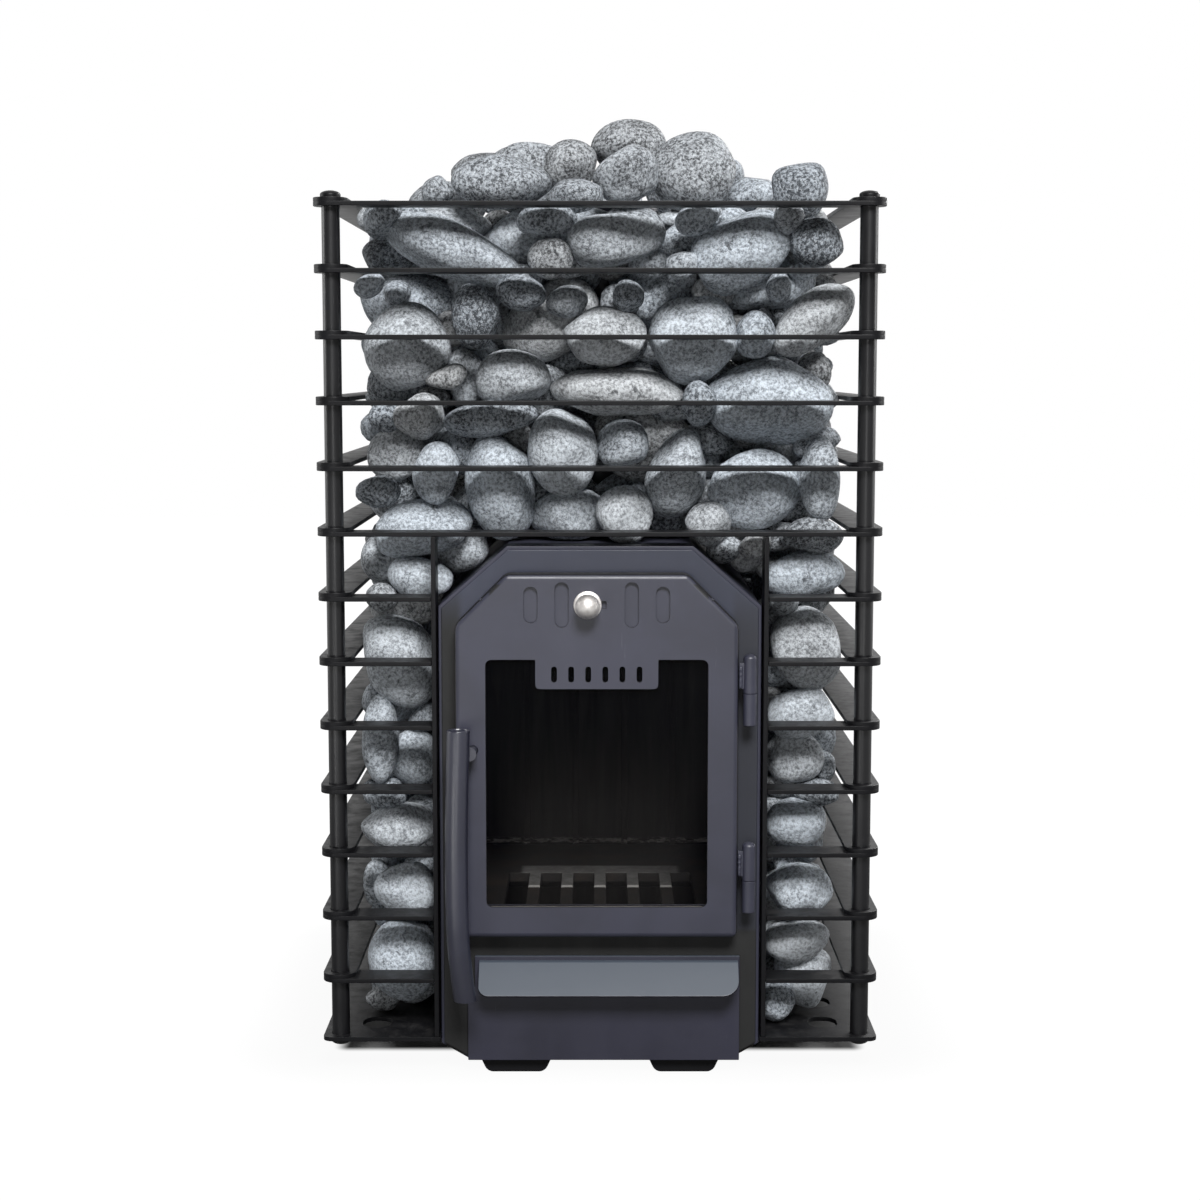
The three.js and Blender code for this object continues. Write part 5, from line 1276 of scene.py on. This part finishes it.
# %% Front stones
FRONT_STONES = (
    # under the top ring
    (-133, 740, 137, 50, -22, 0.62), (-64, 752, 85, 56, -5, 0.62), (15, 750, 85, 48, 12, 0.6),
    (129, 739, 92, 66, 25, 0.62), (80, 746, 58, 48, 20, 0.4), (193, 746, 48, 43, 0, 0.15),
    (-193, 737, 52, 34, 0, 0.22), (-137, 768, 76, 27, -5, 0.6), (-17, 768, 60, 28, 0, 0.6),
    (93, 770, 86, 26, 4, 0.6),
    # second row
    (-174, 654, 78, 78, 12, 0.6), (5, 664, 75, 54, 0, 0.65), (83, 660, 81, 78, 0, 0.62),
    (192, 678, 88, 48, 38, 0.58), (-45, 678, 98, 64, 32, 0.58), (154, 706, 88, 37, 8, 0.58),
    (53, 705, 85, 64, 35, 0.52), (-174, 691, 95, 56, 0, 0.5), (139, 665, 35, 42, 0, 0.5),
    (-111, 681, 46, 60, 0, 0.12),
    # third row
    (153, 606, 117, 80, 0, 0.68), (-78, 627, 70, 50, 0, 0.66), (15, 614, 121, 44, -3, 0.68),
    (-121, 625, 38, 54, 0, 0.55), (-163, 592, 46, 44, 0, 0.5), (-194, 591, 32, 29, 0, 0.35),
    (88, 603, 30, 42, 0, 0.4), (195, 630, 30, 40, 0, 0.35),
    # fourth row
    (-184, 558, 56, 51, 0, 0.55), (-34, 559, 64, 80, 0, 0.68), (-90, 528, 64, 98, 8, 0.62),
    (71, 540, 53, 86, -22, 0.62), (140, 526, 85, 73, 0, 0.64), (38, 563, 92, 66, -5, 0.42),
    (-98, 590, 85, 32, 8, 0.4), (160, 550, 48, 44, 0, 0.55), (197, 536, 38, 76, 0, 0.5),
    (-146, 541, 42, 58, 0, 0.6),
    # fifth row
    (-159, 492, 92, 52, 14, 0.68), (-28, 502, 72, 50, 10, 0.68), (23, 503, 53, 53, 0, 0.62),
    (-184, 521, 38, 38, 0, 0.2), (98, 495, 42, 40, 0, 0.55), (190, 485, 56, 32, 0, 0.3),
    (60, 502, 40, 40, 0, 0.3),
    # beside the head of the firebox
    (-162, 446, 60, 40, -15, 0.62), (183, 450, 74, 42, 0, 0.66), (131, 478, 46, 66, 30, 0.6),
    (-127, 471, 50, 42, 25, 0.55), (-196, 462, 46, 50, 0, 0.5),
    # left of the firebox, downwards
    (-182, 371, 66, 92, 30, 0.66), (-200, 298, 34, 82, 0, 0.6), (-172, 278, 46, 52, 0, 0.7),
    (-184, 217, 70, 42, 8, 0.7), (-178, 160, 58, 50, 0, 0.74), (-183, 88, 64, 78, 0, 0.74),
    (-205, 160, 26, 46, 0, 0.5),
    # right of the firebox, downwards
    (186, 382, 64, 76, 0, 0.66), (183, 323, 62, 46, 0, 0.7), (178, 281, 54, 50, 0, 0.7),
    (205, 268, 26, 32, 0, 0.4), (179, 221, 56, 46, 0, 0.7), (184, 155, 62, 54, 0, 0.74),
    (181, 110, 60, 40, 5, 0.74), (190, 71, 54, 62, 0, 0.85),
)
dice = Dice(7)
shade_dice = Dice(70)
kept = 0
for x, z, length, height, tilt, tone in FRONT_STONES:
    depth = min(32, max(14, 0.21 * (length + height) * dice.roll(0.85, 1.05)))
    looks = (tone + shade_dice.roll(-0.05, 0.05), 0.5 * shade_dice.roll() ** 2)
    kept += lay("front", (x, yard_low.y + depth, z), (length / 2, depth, height / 2), tilt, looks)
print("front stones laid:", kept, "of", len(FRONT_STONES))

# %% [markdown]
# The heap on top is listed one by one too: across, back from the cage front, up from the top ring,
# then the half sizes and the tilt.

# %% Heap
HEAP_STONES = (
    (-148, 100, 12, 15, 17, 15, 0), (-88, 66, 18, 45, 30, 24, 4), (-70, 128, 38, 42, 32, 22, 8),
    (-29, 120, 36, 27, 27, 23, 0), (27, 142, 52, 36, 34, 28, 0), (23, 84, 26, 30, 27, 27, 0),
    (84, 114, 30, 39, 34, 38, -20), (-22, 62, 6, 26, 20, 15, 0), (142, 150, 12, 28, 26, 16, 0),
    (180, 82, 10, 25, 24, 28, 0), (-97, 212, 30, 46, 38, 28, -8), (95, 208, 32, 44, 40, 30, 8),
    (-152, 290, 14, 40, 44, 24, 5), (152, 268, 14, 42, 38, 24, -6), (-84, 352, 26, 44, 40, 28, 12),
    (92, 342, 26, 46, 36, 28, -10), (5, 400, 20, 40, 34, 26, 4),
)
for x, deep, up, half_x, half_y, half_z, tilt in HEAP_STONES:
    # Painted shade: the heap faces the key lamp most, so its stones get a lower tone than the front ones
    looks = (0.34 + shade_dice.roll(-0.08, 0.08), 0.4 * shade_dice.roll() ** 2)
    lay("front", (x, front + deep, yard_high.z + up), (half_x, half_y, half_z), tilt, looks, fixed=True)
print("heap stones laid:", len(HEAP_STONES))

# %% [markdown]
# The rest is scattered. For each side of the cage a jittered grid gives the places, the row above
# another is shifted by half a stone, and each stone is pushed inwards until it fits. After the outer
# stones come smaller ones that go deeper, so that no light shows through, and these get a quarter
# less tone as painted shade.

# %% Scattered stones
STONE_LENGTH = 78
STONE_HEIGHT = 56


def scatter(side, seed, size, steps, detail=4):
    dice, shade_dice = Dice(seed), Dice(seed + 100)
    axis, across, up, inward = SIDES[side]
    pitch_across, pitch_up = STONE_LENGTH * size, STONE_HEIGHT * size
    columns = int((yard_high[across] - yard_low[across]) / pitch_across)
    rows = int((yard_high[up] - yard_low[up]) / pitch_up)
    count = 0
    for row in range(rows + 1):
        for column in range(columns + 1):
            half = np.zeros(3)
            half[across] = pitch_across / 2 * dice.roll(0.85, 1.3)
            half[up] = pitch_up / 2 * dice.roll(0.85, 1.3)
            half[axis] = min(33, 0.5 * (half[across] + half[up]) * dice.roll(0.75, 1.0))
            shift = (0.5 * row + 1 + dice.roll(-0.15, 0.15)) % 1
            middle = np.zeros(3)
            middle[across] = yard_low[across] + (column + shift) * pitch_across
            middle[up] = yard_low[up] + (row + 0.5 + dice.roll(-0.2, 0.2)) * pitch_up
            tilt = dice.roll(-25, 25)
            box = reach_of(half, tilt, across, up)
            for along in (across, up):
                lowest, highest = yard_low[along] + box[along], yard_high[along] - box[along]
                middle[along] = min(max(middle[along], lowest), highest)
            edge = yard_low[axis] if inward > 0 else yard_high[axis]
            middle[axis] = edge + inward * (half[axis] + dice.roll(0, 9))
            # Painted shade: stones laid deep inside get a quarter less tone
            looks = (shade_dice.roll(0.42, 0.74) * (1 if detail == 4 else 0.75), 0.6 * shade_dice.roll() ** 2)
            count += lay(side, middle, half, tilt, looks, steps, detail=detail)
    return count


for layer, (size, steps) in enumerate(((1.0, 5), (0.75, 6))):
    for index, side in enumerate(("left", "right", "back", "top")):
        print("outer stones on the", side, scatter(side, 11 + 10 * layer + index, size, steps))
for side, seed, size, steps in (
        ("left", 41, 0.8, 14), ("right", 42, 0.8, 14), ("back", 43, 0.85, 16), ("top", 44, 0.9, 18),
        ("front", 45, 0.9, 22), ("front", 46, 0.9, 34), ("front", 47, 0.8, 45), ("front", 48, 0.7, 45),
        ("left", 49, 0.6, 14), ("right", 50, 0.6, 14), ("front", 51, 0.55, 60), ("front", 52, 0.45, 60),
        ("top", 53, 0.55, 30), ("left", 54, 0.45, 20), ("right", 55, 0.45, 20), ("back", 56, 0.5, 20)):
    print("inner stones from the", side, scatter(side, seed, size, steps, 3))

# %% [markdown]
# Each laid stone becomes a turned and stretched copy of a pebble, with its tone written on its
# points. The stones of one part of the cage are joined, and a Displace with a soft cloud texture
# gives every stone dents of its own, because the cloud fills the space and each stone lies elsewhere.


# %% Stone meshes
def stone_region(middle):
    x, y, z = middle
    if z < fire_high.z - 53.5:
        if abs(x) > fire_high.x:
            return "left" if x < 0 else "right"
        return "back"
    if y < flue_low.y - 20:
        return "top_front"
    return "top_left" if x < 0 else "top_right"


cloud = bpy.data.textures.new("stone_dents", "CLOUDS")
cloud.noise_scale = 0.04
cloud.noise_depth = 1
chance = random.Random(21)
regions = {}
for side, middle, half, tilt, looks, detail in stones:
    axis, across, up, inward = SIDES[side]
    spin = np.array(Euler([chance.uniform(0, math.tau) for letter in "xyz"]).to_matrix())
    shape = pebbles[detail][chance.randrange(PATTERNS)] @ spin.T
    shape = (shape - (shape.max(0) + shape.min(0)) / 2) / ((shape.max(0) - shape.min(0)) / 2)
    shape = shape * half
    turn = math.radians(tilt)
    flat, tall = shape[:, across].copy(), shape[:, up].copy()
    shape[:, across] = flat * math.cos(turn) - tall * math.sin(turn)
    shape[:, up] = flat * math.sin(turn) + tall * math.cos(turn)
    shape = (shape + middle) * MM
    stone = bpy.data.objects.new("stone", pebble_meshes[detail].copy())
    stone.data.vertices.foreach_set("co", shape.astype(np.float32).ravel())
    for name, value in zip(("tone", "warmth"), looks):
        layer = stone.data.attributes.new(name, "FLOAT", "POINT")
        layer.data.foreach_set("value", np.full(len(shape), value, np.float32))
    bpy.context.scene.collection.objects.link(stone)
    regions.setdefault(stone_region(middle), []).append(stone)

for region, members in regions.items():
    pile = join(f"stone_pile_{region}", members)
    dents = pile.modifiers.new("dents", "DISPLACE")
    dents.texture = cloud
    dents.texture_coords = "GLOBAL"
    dents.strength = 6 * MM
    dents.mid_level = 0.5
    bpy.ops.object.modifier_apply(modifier=dents.name)
    bpy.ops.object.shade_smooth()
    fit(pile, "root", "heating_stone", heating_stone, f"stones_{region}")
    print("pile", region, len(members), "stones", len(pile.data.polygons), "faces")

# %% [markdown]
# ## Last look
#
# The pieces keep the size of their solids, and their number is printed.

# %% Count of pieces
print("pieces made:", len(pieces_made))
